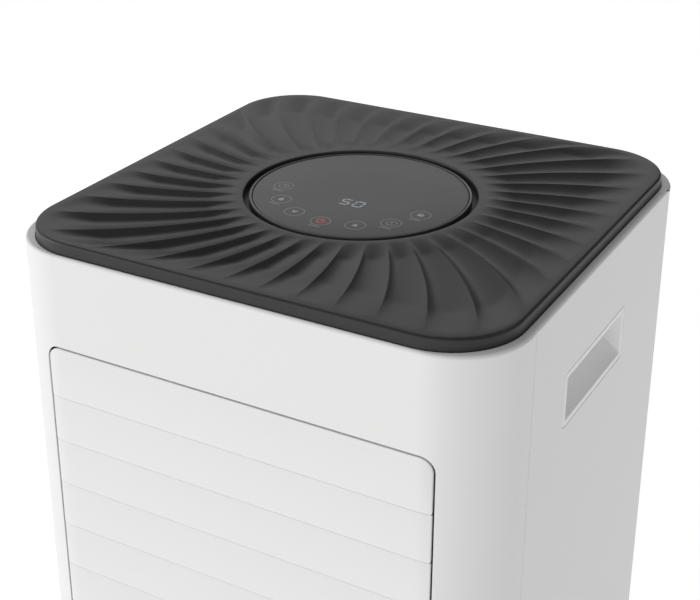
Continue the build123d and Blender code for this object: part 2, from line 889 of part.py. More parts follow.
def level_switch():
    """Feels the float's magnet through the tank's back wall."""
    foot = tank_top - switch_drop
    half = switch_width / 2
    front, rear = tank_back + switch_gap, tray_back - bay_wall
    return block(float_x - half, float_x + half, front, rear, foot, foot + switch_height)


def fin_positions():
    count = int(2 * coil_half_width / fin_pitch)
    return [-coil_half_width + fin_pitch * fin for fin in range(count + 1)]


def fin_stack(y):
    """Thin plates with a round hole for each pass of the tube."""
    y0, y1 = y - fin_depth / 2, y + fin_depth / 2
    outline = block(-fin_thickness / 2, fin_thickness / 2, y0, y1, coil_bottom, coil_top)
    for height in row_heights:
        outline = outline - rod_x(tube_radius + fin_hole_gap, -fin_thickness, fin_thickness, y, height)
    return [outline.moved(Location((x, 0, 0))) for x in fin_positions()]


def coil_tube(y):
    """One tube that runs to and fro through the fins, with both ends on the right."""
    turn = row_pitch / 2
    reach = coil_half_width + tube_reach
    edges = []
    for row, height in enumerate(row_heights):
        start = coil_stub if row == 0 else reach
        end = coil_stub if row == coil_rows - 1 else reach
        first, last = (start, -reach) if row % 2 == 0 else (-reach, end)
        edges.append(Line((first, y, height), (last, y, height)))
        if row < coil_rows - 1:
            sign = -1 if row % 2 == 0 else 1
            near, far, top = sign * reach, sign * (reach + turn), height + row_pitch
            edges.append(ThreePointArc((near, y, height), (far, y, height + turn), (near, y, top)))
    path = Wire(edges)
    return sweep(Plane(origin=path @ 0, z_dir=path % 0) * Circle(tube_radius), path)


def coil_end_plates():
    y0 = evaporator_y - fin_depth / 2 - end_plate_margin
    y1 = condenser_y + fin_depth / 2 + end_plate_margin
    plates = []
    for sign in (-1, 1):
        near = coil_half_width + end_plate_gap
        x0, x1 = sorted((sign * near, sign * (near + end_plate_thickness)))
        sheet = block(x0, x1, y0, y1, tray_floor + tray_thickness, coil_top + end_plate_margin)
        for y in (evaporator_y, condenser_y):
            for height in row_heights:
                sheet = sheet - rod_x(tube_radius + fin_hole_gap, x0, x1, y, height)
        plates.append(sheet)
    return plates


def compressor():
    """A welded steel can on a three-lobed foot, with the motor's stator pressed into it."""
    top = compressor_bottom + compressor_height
    can = rod_z(compressor_radius, compressor_x, compressor_y, compressor_bottom, top)
    can = fillet(can.edges().filter_by(GeomType.CIRCLE), compressor_round)
    inside = rod_z(
        compressor_radius - compressor_wall,
        compressor_x,
        compressor_y,
        compressor_bottom + compressor_wall,
        top - compressor_wall,
    )
    inside = fillet(inside.edges().filter_by(GeomType.CIRCLE), compressor_round - compressor_wall)
    can = can - inside
    for angle in foot_angles:
        lobe = Pos(foot_circle / 2 + foot_end, 0, 0) * Box(foot_circle, foot_width, foot_thickness)
        lobe = Rot(0, 0, angle) * lobe
        lobe = Pos(compressor_x, compressor_y, compressor_bottom - foot_thickness / 2) * lobe
        can = can + lobe
    for x, y in foot_places():
        can = can - rod_z(grommet_bore, x, y, compressor_bottom - foot_thickness, compressor_bottom)
    stator_low = compressor_bottom + compressor_height / 2 - stator_height / 2
    stator = rod_z(
        compressor_radius - compressor_wall, compressor_x, compressor_y,
        stator_low, stator_low + stator_height
    )
    bore = rod_z(stator_bore, compressor_x, compressor_y, stator_low, stator_low + stator_height)
    return can, stator - bore


def foot_places():
    return [
        (compressor_x + foot_circle * cos(radians(angle)), compressor_y + foot_circle * sin(radians(angle)))
        for angle in foot_angles
    ]


def compressor_grommets():
    low, high = base_floor, compressor_bottom - foot_thickness
    return [
        rod_z(grommet_radius, x, y, low, high) - rod_z(grommet_bore, x, y, low, high)
        for x, y in foot_places()
    ]


def compressor_studs():
    """A stud from the base pan through each rubber foot, with its nut on a washer."""
    nut_foot = compressor_bottom + washer_thickness
    top = nut_foot + nut_height + stud_above
    studs = []
    for x, y in foot_places():
        stud = rod_z(stud_radius, x, y, base_floor, top)
        washer = rod_z(nut_radius + washer_border, x, y, compressor_bottom, nut_foot)
        nut = Pos(x, y, nut_foot) * extrude(RegularPolygon(nut_radius, 6), nut_height)
        studs.append(stud + washer + nut)
    return studs


def terminal_cover():
    cover = rod_z(
        terminal_radius,
        compressor_x - terminal_offset,
        compressor_y,
        compressor_top,
        compressor_top + terminal_height,
    )
    return fillet(cover.edges().group_by(Axis.Z)[-1], terminal_round)


def accumulator():
    low, high = accumulator_bottom, accumulator_bottom + accumulator_height
    can = rod_z(accumulator_radius, accumulator_x, compressor_y, low, high)
    can = fillet(can.edges().filter_by(GeomType.CIRCLE), accumulator_round)
    can_edge = compressor_x + compressor_radius
    link = pipe(
        [
            (accumulator_x, compressor_y, low + pipe_socket),
            (accumulator_x, compressor_y, low - accumulator_loop),
            (can_edge, compressor_y, low - accumulator_loop),
        ],
        pipe_radius,
        small_bend,
    )
    return can + link


discharge_x = compressor_x + discharge_offset
riser_x = drier_place[0] + riser_offset


def discharge_pipe():
    run = compressor_top + discharge_rise
    return pipe(
        [
            (discharge_x, compressor_y, compressor_top),
            (discharge_x, compressor_y, run),
            (riser_x, compressor_y, run),
            (riser_x, condenser_y, run),
            (riser_x, condenser_y, row_heights[-1]),
            (coil_stub, condenser_y, row_heights[-1]),
        ],
        pipe_radius,
        pipe_bend,
    )


def suction_pipe():
    outside = riser_x + riser_spread
    return pipe(
        [
            (coil_stub, evaporator_y, row_heights[0]),
            (outside, evaporator_y, row_heights[0]),
            (outside, compressor_y, row_heights[0]),
            (accumulator_x, compressor_y, row_heights[0]),
            (accumulator_x, compressor_y, accumulator_bottom + accumulator_height),
        ],
        pipe_radius,
        pipe_bend,
    )


def filter_drier():
    x, y = drier_place
    feed = pipe(
        [
            (coil_stub, condenser_y, row_heights[0]),
            (x, condenser_y, row_heights[0]),
            (x, y, row_heights[0]),
            (x, y, drier_bottom + pipe_socket),
        ],
        drier_feed_radius,
        small_bend,
    )
    can = rod_z(drier_radius, x, y, drier_bottom, drier_bottom + drier_length)
    return feed + fillet(can.edges().filter_by(GeomType.CIRCLE), drier_round)


def capillary_tube():
    x, y = drier_place
    return pipe(
        [
            (x, y, drier_bottom + drier_length),
            (x, y, coil_top + capillary_over_coil),
            (x, evaporator_y, coil_top + capillary_over_coil),
            (x, evaporator_y, row_heights[-1]),
            (coil_stub, evaporator_y, row_heights[-1]),
        ],
        capillary_radius,
        capillary_bend,
    )


# Fan, its shroud and motor

def fan_shroud():
    low, high = coil_bottom - shroud_lip, coil_top + shroud_lip
    duct = block(-shroud_half_width, shroud_half_width, shroud_front, shroud_plate, low, high)
    inside = block(
        -shroud_half_width + shroud_wall,
        shroud_half_width - shroud_wall,
        shroud_front,
        shroud_plate - shroud_wall,
        low + shroud_wall,
        high - shroud_wall,
    )
    bore = fan_radius + fan_tip_gap
    rear = fan_front + fan_depth + collar_length
    collar = rod_y(bore + shroud_wall, 0, shroud_plate - shroud_wall, rear, fan_z)
    return duct - inside + collar - rod_y(bore, 0, shroud_front, rear, fan_z)


def motor_bracket():
    low = motor_front - bracket_thickness
    spider = rod_y(motor_radius + bracket_border, 0, low, motor_front, fan_z)
    for angle in (45, 135, 225, 315):
        arm = Pos(bracket_post_circle / 2, 0, 0) * Box(bracket_post_circle, bracket_arm, bracket_thickness)
        arm = Rot(0, 0, angle) * arm
        arm = Pos(0, (low + motor_front) / 2, fan_z) * Rot(90, 0, 0) * arm
        x = bracket_post_circle * cos(radians(angle))
        z = fan_z + bracket_post_circle * sin(radians(angle))
        spider = spider + arm + rod_y(bracket_post_radius, x, shroud_plate, motor_front, z)
    return spider - rod_y(motor_radius / 2, 0, low, motor_front, fan_z)


def fan_motor():
    rear = motor_front + motor_length
    motor = rod_y(motor_radius, 0, motor_front, rear, fan_z)
    motor = fillet(motor.edges().filter_by(GeomType.CIRCLE), motor_round)
    return motor - rod_y(shaft_radius + running_gap, 0, motor_front, motor_front + motor_bore, fan_z)


def fan_shaft():
    return rod_y(shaft_radius, 0, fan_front - shaft_nose, motor_front + shaft_in_motor, fan_z)


def fan_impeller():
    rear = fan_front + fan_depth
    hub = rod_y(fan_hub_radius, 0, fan_front, rear, fan_z)
    middle = (fan_front + rear) / 2
    for blade in range(blade_count):
        flat = Box(fan_radius, blade_thickness, blade_chord)
        sheet = Pos(fan_radius / 2, 0, 0) * Rot(blade_pitch, 0, 0) * flat
        sheet = Pos(0, middle, fan_z) * Rot(0, 360 / blade_count * blade, 0) * sheet
        hub = hub + sheet
    hub = hub & rod_y(fan_radius, 0, fan_front, rear, fan_z)
    return hub - rod_y(shaft_radius, 0, fan_front, rear, fan_z)


# Electrics

def power_box():
    x0 = -inner_width / 2 + fit_gap
    x1 = x0 + power_box_depth
    wall = power_box_wall
    box = block(x0, x1, power_box_front, power_box_back, power_box_bottom, power_box_top)
    inside = block(
        x0 + wall, x1, power_box_front + wall, power_box_back - wall,
        power_box_bottom + wall, power_box_top - wall
    )
    box = box - inside
    for y in (power_box_front + post_inset, power_box_back - post_inset):
        for z in (power_box_bottom + post_inset, power_box_top - post_inset):
            box = box + rod_x(post_radius, x0 + wall, x0 + wall + post_height, y, z)
    return box


board_foot_x = fit_gap - inner_width / 2 + power_box_wall + post_height


def main_board():
    y0, y1 = power_box_front + main_board_gap, power_box_back - main_board_gap
    z0, z1 = power_box_bottom + main_board_gap, power_box_top - main_board_gap
    return block(board_foot_x, board_foot_x + board_thickness, y0, y1, z0, z1)


def run_capacitor():
    x = board_foot_x + board_thickness + capacitor_radius
    low = power_box_bottom + capacitor_lift
    return rod_z(capacitor_radius, x, power_box_back - capacitor_inset, low, low + capacitor_length)


# Back of the cabinet

def outlet_grille():
    low, high = outlet_z - outlet_height / 2, outlet_z + outlet_height / 2
    front = back - outlet_depth
    lip_low, lip_high, lip_corner = low - outlet_lip, high + outlet_lip, outlet_corner + outlet_lip
    grille = plate(outlet_width + 2 * outlet_lip, lip_low, lip_high, lip_corner, front, inner_back)
    grille = grille + plate(outlet_width, low, high, outlet_corner, front, back)
    hole_low, hole_high = low + outlet_border, high - outlet_border
    hole_width, hole_corner = outlet_width - 2 * outlet_border, outlet_corner / 2
    grille = grille - plate(hole_width, hole_low, hole_high, hole_corner, front, back)
    pitch = (hole_high - hole_low) / (outlet_slats + 1)
    board = Box(hole_width + 2, outlet_slat_depth, outlet_slat_thickness)
    for slat in range(outlet_slats):
        z = hole_low + pitch * (slat + 1)
        grille = grille + Pos(0, back - outlet_depth / 2, z) * Rot(-outlet_slat_tilt, 0, 0) * board
    for rib in (-1, 0, 1):
        x0 = rib * outlet_width / 4 - outlet_rib / 2
        rib_back = back - outlet_rib_set_in
        grille = grille + block(x0, x0 + outlet_rib, front, rib_back, hole_low - 1, hole_high + 1)
    return grille


def drain_spout():
    """A cup sunk in the back, with the hose spout standing in it."""
    front = back - drain_cup_depth
    cup = rod_y(drain_cup_radius, drain_x, front, back, drain_z)
    wall = drain_cup_wall
    cup = cup + rod_y(drain_cup_radius + drain_flange, drain_x, inner_back - wall, inner_back, drain_z)
    cup = cup - rod_y(drain_cup_radius - wall, drain_x, front + wall, back, drain_z)
    cup = cup + rod_y(spout_radius, drain_x, front, back - spout_set_in, drain_z)
    return cup - rod_y(spout_bore, drain_x, front, back - spout_set_in, drain_z)


def drain_plug():
    tip = back - spout_set_in
    stem = rod_y(spout_bore - plug_gap, drain_x, tip - plug_stem, tip, drain_z)
    return stem + rod_y(plug_head_radius, drain_x, tip, back - fit_gap, drain_z)


def cord_gland():
    flange = inner_back - gland_flange
    gland = rod_y(gland_radius, gland_x, flange, back, gland_z)
    gland = gland + rod_y(gland_radius + gland_flange, gland_x, flange, inner_back, gland_z)
    gland = gland + rod_y(gland_body, gland_x, back - gland_length, inner_back, gland_z)
    return gland - rod_y(gland_bore, gland_x, back - gland_length, back, gland_z)


tube = shell_tube()
save("front_shell", front_shell(tube))
save("rear_shell", rear_shell(tube))
save("case_screws", *case_screws())
save("handle_cup_left", grip_cup(-1))
save("handle_cup_right", grip_cup(1))
save("top_cover", top_cover())
save("top_frame", top_frame())
save("display_carrier", display_carrier())
save("control_ring", control_ring())
save("control_glass", control_glass())
save("control_board", rod_z(board_radius, 0, 0, board_low, board_top))
save("touch_springs", *touch_springs())
save("digit_display", digit_display())
save("intake_grille", intake_grille())
save("hinge_pins", *hinge_pins())
save("filter_frame", filter_frame())
save("filter_mesh", filter_mesh())
save("water_tank", water_tank())
save("tank_front", tank_front())
save("level_window", level_window())
save("float_arm", float_arm())
save("float_block", float_block())
save("base_pan", base_pan())
for place, (x, y) in castor_places.items():
    save(f"castor_fork_{place}", *castor_fork(x, y))
    save(f"castor_wheel_{place}", castor_wheel(x, y))
save("drip_tray", drip_tray())
save("tank_bay", tank_bay())
save("level_switch", level_switch())
save("evaporator_fins", *fin_stack(evaporator_y))
save("evaporator_tube", coil_tube(evaporator_y))
save("condenser_fins", *fin_stack(condenser_y))
save("condenser_tube", coil_tube(condenser_y))
save("coil_end_plates", *coil_end_plates())
save("compressor", *compressor())
save("compressor_grommets", *compressor_grommets())
save("compressor_studs", *compressor_studs())
save("terminal_cover", terminal_cover())
save("accumulator", accumulator())
save("discharge_pipe", discharge_pipe())
save("suction_pipe", suction_pipe())
save("filter_drier", filter_drier())
save("capillary_tube", capillary_tube())
save("fan_shroud", fan_shroud())
save("motor_bracket", motor_bracket())
save("fan_motor", fan_motor())
save("fan_shaft", fan_shaft())
save("fan_impeller", fan_impeller())
save("power_box", power_box())
save("main_board", main_board())
save("run_capacitor", run_capacitor())
save("outlet_grille", outlet_grille())
save("drain_spout", drain_spout())
save("drain_plug", drain_plug())
save("cord_gland", cord_gland())
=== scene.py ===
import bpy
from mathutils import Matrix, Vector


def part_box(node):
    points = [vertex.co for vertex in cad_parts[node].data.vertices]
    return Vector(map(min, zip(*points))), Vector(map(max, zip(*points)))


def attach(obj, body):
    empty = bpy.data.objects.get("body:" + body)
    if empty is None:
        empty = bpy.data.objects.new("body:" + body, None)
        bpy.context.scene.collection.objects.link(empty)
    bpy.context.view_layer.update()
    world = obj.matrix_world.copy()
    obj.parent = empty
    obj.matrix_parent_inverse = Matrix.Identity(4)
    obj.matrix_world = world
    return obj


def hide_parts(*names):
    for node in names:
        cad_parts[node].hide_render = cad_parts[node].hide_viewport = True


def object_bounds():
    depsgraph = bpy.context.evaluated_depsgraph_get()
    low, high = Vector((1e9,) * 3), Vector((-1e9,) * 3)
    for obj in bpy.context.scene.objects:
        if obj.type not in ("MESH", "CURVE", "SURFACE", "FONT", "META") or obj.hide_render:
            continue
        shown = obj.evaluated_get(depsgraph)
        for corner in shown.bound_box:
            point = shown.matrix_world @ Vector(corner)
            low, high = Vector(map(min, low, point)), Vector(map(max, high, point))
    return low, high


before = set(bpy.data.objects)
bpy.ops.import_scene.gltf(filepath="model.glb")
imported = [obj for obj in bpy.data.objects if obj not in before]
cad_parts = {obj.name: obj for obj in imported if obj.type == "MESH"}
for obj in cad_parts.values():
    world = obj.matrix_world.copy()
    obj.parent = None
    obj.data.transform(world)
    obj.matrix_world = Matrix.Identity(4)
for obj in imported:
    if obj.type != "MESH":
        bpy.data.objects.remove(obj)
cad_box = [list(corner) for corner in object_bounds()]

from math import cos, pi, radians, sin, sqrt, tau

import bmesh
import bpy
from mathutils import Matrix, Vector

# The room: a pale floor that runs far back, soft boxes to the left and the right, a bright horizon under a dim
# ceiling, and a long lens that looks down on the cover from the front right.
scene = bpy.context.scene
scene.view_settings.view_transform = "Standard"
scene.view_settings.look = "None"
case_low, case_high = (Vector(corner) for corner in cad_box)
mm = 0.001


class Wire:
    """A socket of a node tree. Sums written with wires add Math nodes, and new() adds any other node."""

    def __init__(self, tree, socket=None):
        self.tree, self.socket = tree, socket

    def new(self, kind, settings=None, inputs=None, output=0):
        made = self.tree.nodes.new(kind)
        for name, value in (settings or {}).items():
            if name == "stops":
                ramp = made.color_ramp.elements
                while len(ramp) < len(value):
                    ramp.new(1.0)
                for stop, (place, colour) in zip(ramp, value):
                    stop.position, stop.color = place, colour
            else:
                setattr(made, name, value)
        for name, value in (inputs or {}).items():
            if isinstance(value, Wire):
                self.tree.links.new(value.socket, made.inputs[name])
            else:
                made.inputs[name].default_value = value
        return Wire(self.tree, made.outputs[output])

    def out(self, name):
        """Another output of the same node."""
        return Wire(self.tree, self.socket.node.outputs[name])

    def math(self, operation, *others):
        return self.new("ShaderNodeMath", {"operation": operation}, dict(enumerate((self, *others))))

    def turned(self, operation, other):
        """The same with the other value first."""
        return self.new("ShaderNodeMath", {"operation": operation}, {0: other, 1: self})

    def __add__(self, other):
        return self.math("ADD", other)

    def __radd__(self, other):
        return self.turned("ADD", other)

    def __sub__(self, other):
        return self.math("SUBTRACT", other)

    def __rsub__(self, other):
        return self.turned("SUBTRACT", other)

    def __mul__(self, other):
        return self.math("MULTIPLY", other)

    def __rmul__(self, other):
        return self.turned("MULTIPLY", other)

    def __truediv__(self, other):
        return self.math("DIVIDE", other)

    def __rtruediv__(self, other):
        return self.turned("DIVIDE", other)

    def __pow__(self, other):
        return self.math("POWER", other)

    def __gt__(self, other):
        return self.math("GREATER_THAN", other)

    def __lt__(self, other):
        return self.math("LESS_THAN", other)


def smooth(value, low, high):
    """0 below low, 1 above high, and an even S between."""
    return value.new("ShaderNodeMapRange", {"interpolation_type": "SMOOTHSTEP"}, {0: value, 1: low, 2: high})


room = bpy.data.worlds.new("room")
room.use_nodes = True
sky = Wire(room.node_tree).new("ShaderNodeTexCoord").out("Generated")
compass = sky.new("ShaderNodeSeparateXYZ", None, {0: sky})
overhead = compass.out("Z").new("ShaderNodeMapRange", {"interpolation_type": "SMOOTHSTEP"},
                                {0: compass.out("Z"), 1: 0.05, 2: 0.70, 3: 1.0, 4: 0.46})
toward_window = compass.out("X") * -0.45 + compass.out("Y") * -0.89
sky_light = overhead * (0.52 + toward_window * 1.00).math("MAXIMUM", 0.16)
backdrop = room.node_tree.nodes["Background"]
backdrop.inputs["Color"].default_value = (1.0, 1.0, 1.0, 1.0)
room.node_tree.links.new(sky_light.socket, backdrop.inputs["Strength"])
scene.world = room


def lamp(name, place, target, width, height, power):
    """A soft box that faces a point."""
    light = bpy.data.lights.new(name, "AREA")
    light.shape = "RECTANGLE"
    light.size, light.size_y, light.energy = width, height, power
    box = bpy.data.objects.new(name, light)
    box.location = place
    box.rotation_euler = (Vector(target) - Vector(place)).to_track_quat("-Z", "Y").to_euler()
    scene.collection.objects.link(box)


aim = (0, 0, 0.45)
lamp("lamp_left", (-2.3, -1.25, 1.5), aim, 1.4, 1.8, 18)
lamp("lamp_right", (1.6, 1.1, 2.8), aim, 1.3, 1.3, 6)
lamp("lamp_back", (-1.5, 2.1, 1.7), aim, 3.0, 0.9, 10)

lens_heading, lens_pitch, lens_roll = radians(29.97), radians(23.61), radians(-0.27)
lens_place = Vector((0.4262, -0.7859, case_high.z + 0.3660))
ahead = Vector((-sin(lens_heading) * cos(lens_pitch), cos(lens_heading) * cos(lens_pitch), -sin(lens_pitch)))
level_right = Vector((cos(lens_heading), sin(lens_heading), 0))
level_up = level_right.cross(ahead)
right = level_right * cos(lens_roll) + level_up * sin(lens_roll)
up = level_up * cos(lens_roll) - level_right * sin(lens_roll)
lens = bpy.data.cameras.new("camera")
lens.sensor_width, lens.lens = 36.0, 72.9
lens.shift_x, lens.shift_y = 0.0337, -0.1065
camera = bpy.data.objects.new("camera", lens)
camera.matrix_world = Matrix.Translation(lens_place) @ Matrix((right, up, -ahead)).transposed().to_4x4()
scene.collection.objects.link(camera)
scene.camera = camera


def blend_colours(factor, first, second):
    return factor.new("ShaderNodeMix", {"data_type": "RGBA"}, {0: factor, 6: first, 7: second}, output=2)


def noise(place, scale, detail=2.0, roughness=0.5):
    sizes = {"Vector": place, "Scale": scale, "Detail": detail, "Roughness": roughness}
    return place.new("ShaderNodeTexNoise", None, sizes)


def bump(height, distance, strength=1.0):
    return height.new("ShaderNodeBump", None, {"Height": height, "Distance": distance, "Strength": strength})


def finish(name, **fixed):
    """A new material with its surface coordinates in metres and its shader. Fixed values go on the shader."""
    material = bpy.data.materials.new(name)
    material.use_nodes = True
    shader = material.node_tree.nodes["Principled BSDF"]
    for socket, value in fixed.items():
        shader.inputs[socket.replace("_", " ")].default_value = value
    return material, Wire(material.node_tree).new("ShaderNodeTexCoord").out("Object"), shader


def feed(shader, socket, wire):
    wire.tree.links.new(wire.socket, shader.inputs[socket])


paper, paper_place, paper_shader = finish("paper_floor", Roughness=0.95, Specular_IOR_Level=0.1,
                                          Emission_Strength=0.80, Emission_Color=(1, 1, 1, 1))
paper_tone = noise(paper_place, 1.3, 2.0)
feed(paper_shader, "Base Color", blend_colours(paper_tone, (0.42, 0.425, 0.43, 1), (0.45, 0.455, 0.46, 1)))
floor_mesh = bpy.data.meshes.new("floor")
reach = 9.0
floor_corners = [(-reach, -reach, 0), (reach, -reach, 0), (reach, reach, 0), (-reach, reach, 0)]
floor_mesh.from_pydata(floor_corners, [], [(0, 1, 2, 3)])
floor_mesh.materials.append(paper)
floor = bpy.data.objects.new("floor", floor_mesh)
scene.collection.objects.link(floor)


# Base pan. A grey moulded tray that carries the whole machine: a floor with a rim, rails for the tank and four
# bosses for the castors. The shells screw to its rim.
def tone(colour, share):
    """The colour made lighter or darker."""
    return tuple(min(1.0, part * share) for part in colour[:3]) + (1.0,)


def moulded(name, colour, roughness, grain=0.5 * mm, relief=0.015 * mm, drift=0.04, **fixed):
    """Moulded plastic: a spark-eroded grain in the surface and a slow drift in tone and gloss."""
    material, place, shader = finish(name, **fixed)
    slow = noise(place, 9.0, 3.0)
    fine = noise(place, 1.0 / grain, 2.0, 0.6)
    feed(shader, "Base Color", blend_colours(slow, tone(colour, 1 - drift), tone(colour, 1 + drift)))
    feed(shader, "Roughness", roughness + (slow - 0.5) * 0.10 + (fine - 0.5) * 0.12)
    feed(shader, "Normal", bump(fine, relief))
    return material


def place_on(piece, body, slot, *nodes):
    """Rides the piece on its body and lets it stand for CAD nodes. The slot is not used."""
    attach(piece, body)
    if nodes:
        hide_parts(*nodes)
    return piece


def settled(name, piece):
    """The piece with its modifiers made part of a plain mesh."""
    bpy.context.view_layer.update()
    mesh = bpy.data.meshes.new_from_object(piece.evaluated_get(bpy.context.evaluated_depsgraph_get()))
    mesh.name = name
    piece.modifiers.clear()
    bpy.data.objects.remove(piece)
    return mesh


def eased(name, node, body, slot, material, radius=0.5 * mm, angle=32.0):
    """A CAD node's own shape with its sharp edges rounded. It stands for the node."""
    form = bmesh.new()
    form.from_mesh(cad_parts[node].data)
    bmesh.ops.remove_doubles(form, verts=form.verts, dist=0.003 * mm)
    bmesh.ops.dissolve_limit(form, angle_limit=radians(0.6), verts=form.verts, edges=form.edges)
    rough = bpy.data.meshes.new(name + "_rough")
    form.to_mesh(rough)
    form.free()
    for layer in ("custom_normal", "sharp_edge", "sharp_face"):
        if layer in rough.attributes:
            rough.attributes.remove(rough.attributes[layer])
    rough.polygons.foreach_set("use_smooth", [True] * len(rough.polygons))
    start = bpy.data.objects.new(name + "_rough", rough)
    scene.collection.objects.link(start)
    rounding = start.modifiers.new("rounding", "BEVEL")
    rounding.width, rounding.segments = radius, 2
    rounding.limit_method, rounding.angle_limit = "ANGLE", radians(angle)
    rounding.use_clamp_overlap = False
    rounding.miter_outer = "MITER_ARC"
    start.modifiers.new("shading", "WEIGHTED_NORMAL")
    mesh = settled(name, start)
    mesh.materials.clear()
    mesh.materials.append(material)
    piece = bpy.data.objects.new(name, mesh)
    scene.collection.objects.link(piece)
    return place_on(piece, body, slot, node)


base_grey = moulded("base_grey", (0.21, 0.215, 0.22), 0.55, grain=0.7 * mm, relief=0.03 * mm)
eased("base_pan_moulding", "base_pan", "cabinet", "base_grey", base_grey, 0.6 * mm)


# Castors. A zinc-plated fork swivels in each corner of the base pan on its own stem, and a grey nylon wheel with a
# softer tread and ribbed sides turns on the axle that is riveted across the fork.
def metal(name, colour, roughness, drawn=(1.0, 1.0, 1.0), stain=0.10, relief=0.004 * mm, **fixed):
    """Bare metal with fine drawn or rolled lines, and slow stains in tone and gloss."""
    material, place, shader = finish(name, Metallic=1.0, **fixed)
    lines = place.new("ShaderNodeMapping", None, {"Vector": place, "Scale": drawn})
    fine = noise(lines, 2600.0, 2.0, 0.6)
    slow = noise(place, 22.0, 4.0, 0.6)
    feed(shader, "Base Color", blend_colours(slow, tone(colour, 1 - stain), tone(colour, 1 + stain / 2)))
    feed(shader, "Roughness", roughness + (slow - 0.5) * 0.22 + (fine - 0.5) * 0.16)
    feed(shader, "Normal", bump(fine, relief))
    return material


def skin(name, rings, wrap=False, capped=True):
    """A closed mesh over rings of points. A wrapped one joins its last ring to its first."""
    size = len(rings[0])
    faces = []
    for row in range(len(rings) if wrap else len(rings) - 1):
        first, second = row * size, (row + 1) % len(rings) * size
        for column in range(size):
            after = (column + 1) % size
            faces.append((first + column, first + after, second + after, second + column))
    if capped and not wrap:
        last = (len(rings) - 1) * size
        faces += [tuple(range(size)), tuple(range(last + size - 1, last - 1, -1))]
    mesh = bpy.data.meshes.new(name)
    mesh.from_pydata([point for ring in rings for point in ring], [], faces)
    return mesh


def spun(name, rows, place, axis, parts=72, wrap=False):
    """A turned shape: rows of (radius, height) about an axis through a place."""
    x, y, z = place
    rings = []
    for radius, height in rows:
        ring = []
        for part in range(parts):
            a, b = radius * cos(tau * part / parts), radius * sin(tau * part / parts)
            ring.append({"X": (height, y + a, z + b), "Y": (x + a, height, z + b),
                         "Z": (x + a, y + b, height)}[axis])
        rings.append(ring)
    return skin(name, rings, wrap)


def gather(name, material, *meshes, angle=35.0):
    """One piece of several meshes, with doubles merged, faces outwards and smooth shading up to an angle."""
    form = bmesh.new()
    for mesh in meshes:
        form.from_mesh(mesh)
    bmesh.ops.remove_doubles(form, verts=form.verts, dist=0.002 * mm)
    bmesh.ops.dissolve_degenerate(form, edges=form.edges, dist=0.001 * mm)
    bmesh.ops.recalc_face_normals(form, faces=form.faces)
    whole = bpy.data.meshes.new(name)
    form.to_mesh(whole)
    form.free()
    whole.polygons.foreach_set("use_smooth", [True] * len(whole.polygons))
    whole.set_sharp_from_angle(angle=radians(angle))
    whole.materials.clear()
    whole.materials.append(material)
    whole.polygons.foreach_set("material_index", [0] * len(whole.polygons))
    piece = bpy.data.objects.new(name, whole)
    scene.collection.objects.link(piece)
    return piece


def group(name, sizes):
    """A geometry tree with a named input for each size and for its finish, and its input wires by name."""
    tree = bpy.data.node_groups.new(name, "GeometryNodeTree")
    tree.interface.new_socket("Geometry", in_out="INPUT", socket_type="NodeSocketGeometry")
    for size, value in sizes.items():
        kind = "NodeSocketInt" if isinstance(value, int) else "NodeSocketFloat"
        tree.interface.new_socket(size, in_out="INPUT", socket_type=kind)
    tree.interface.new_socket("Finish", in_out="INPUT", socket_type="NodeSocketMaterial")
    tree.interface.new_socket("Geometry", in_out="OUTPUT", socket_type="NodeSocketGeometry")
    entry = Wire(tree).new("NodeGroupInput")
    return tree, {"Geometry": entry, **{size: entry.out(size) for size in (*sizes, "Finish")}}


def close_group(tree, size, made):
    """Ends a tree: real meshes in place of instances, in the finish."""
    whole = made.new("GeometryNodeRealizeInstances", None, {0: made})
    painted = whole.new("GeometryNodeSetMaterial", None, {"Geometry": whole, "Material": size["Finish"]})
    tree.links.new(painted.socket, tree.nodes.new("NodeGroupOutput").inputs[0])


def grown(name, tree, sizes, material, start=None):
    """The plain mesh that a tree makes from a start mesh and its sizes."""
    seed = bpy.data.objects.new(name + "_start", start or bpy.data.meshes.new(name + "_start"))
    scene.collection.objects.link(seed)
    modifier = seed.modifiers.new("grow", "NODES")
    modifier.node_group = tree
    for item in tree.interface.items_tree:
        if item.in_out == "INPUT" and item.name in sizes:
            modifier[item.identifier] = sizes[item.name]
        elif item.in_out == "INPUT" and item.name == "Finish":
            modifier[item.identifier] = material
    return settled(name, seed)


def joined(*parts):
    """A vector of three parts, of which one or more are wires."""
    wire = next(part for part in parts if isinstance(part, Wire))
    return wire.new("ShaderNodeCombineXYZ", None, dict(enumerate(parts)))


def lined(shape, count, offset):
    """Instances of a shape at the points of a line."""
    line = shape.new("GeometryNodeMeshLine", None, {"Count": count, "Offset": offset})
    return line.new("GeometryNodeInstanceOnPoints", None, {"Points": line, "Instance": shape})


ring_sizes = {f"{kind} {n}": 0.0 for kind in ("Turn", "Middle") for n in "XYZ"}
ring_tree, size = group("copies_round_an_axis", {"Count": 1, **ring_sizes})
copies = lined(size["Geometry"], size["Count"], (0, 0, 0))
number = copies.new("GeometryNodeInputIndex")
turn = joined(*(number * size[f"Turn {n}"] for n in "XYZ"))
middle = joined(*(size[f"Middle {n}"] for n in "XYZ"))
turned_copies = copies.new("GeometryNodeRotateInstances", None, {"Instances": copies, "Rotation": turn,
                                                                "Pivot Point": middle, "Local Space": False})
close_group(ring_tree, size, turned_copies)


def round_copies(name, shape, material, count, axis, middle):
    """Copies of a shape, evenly round an axis through a point."""
    sizes = {"Count": count, f"Turn {axis}": tau / count}
    sizes.update({f"Middle {n}": value for n, value in zip("XYZ", middle)})
    return grown(name, ring_tree, sizes, material, shape)


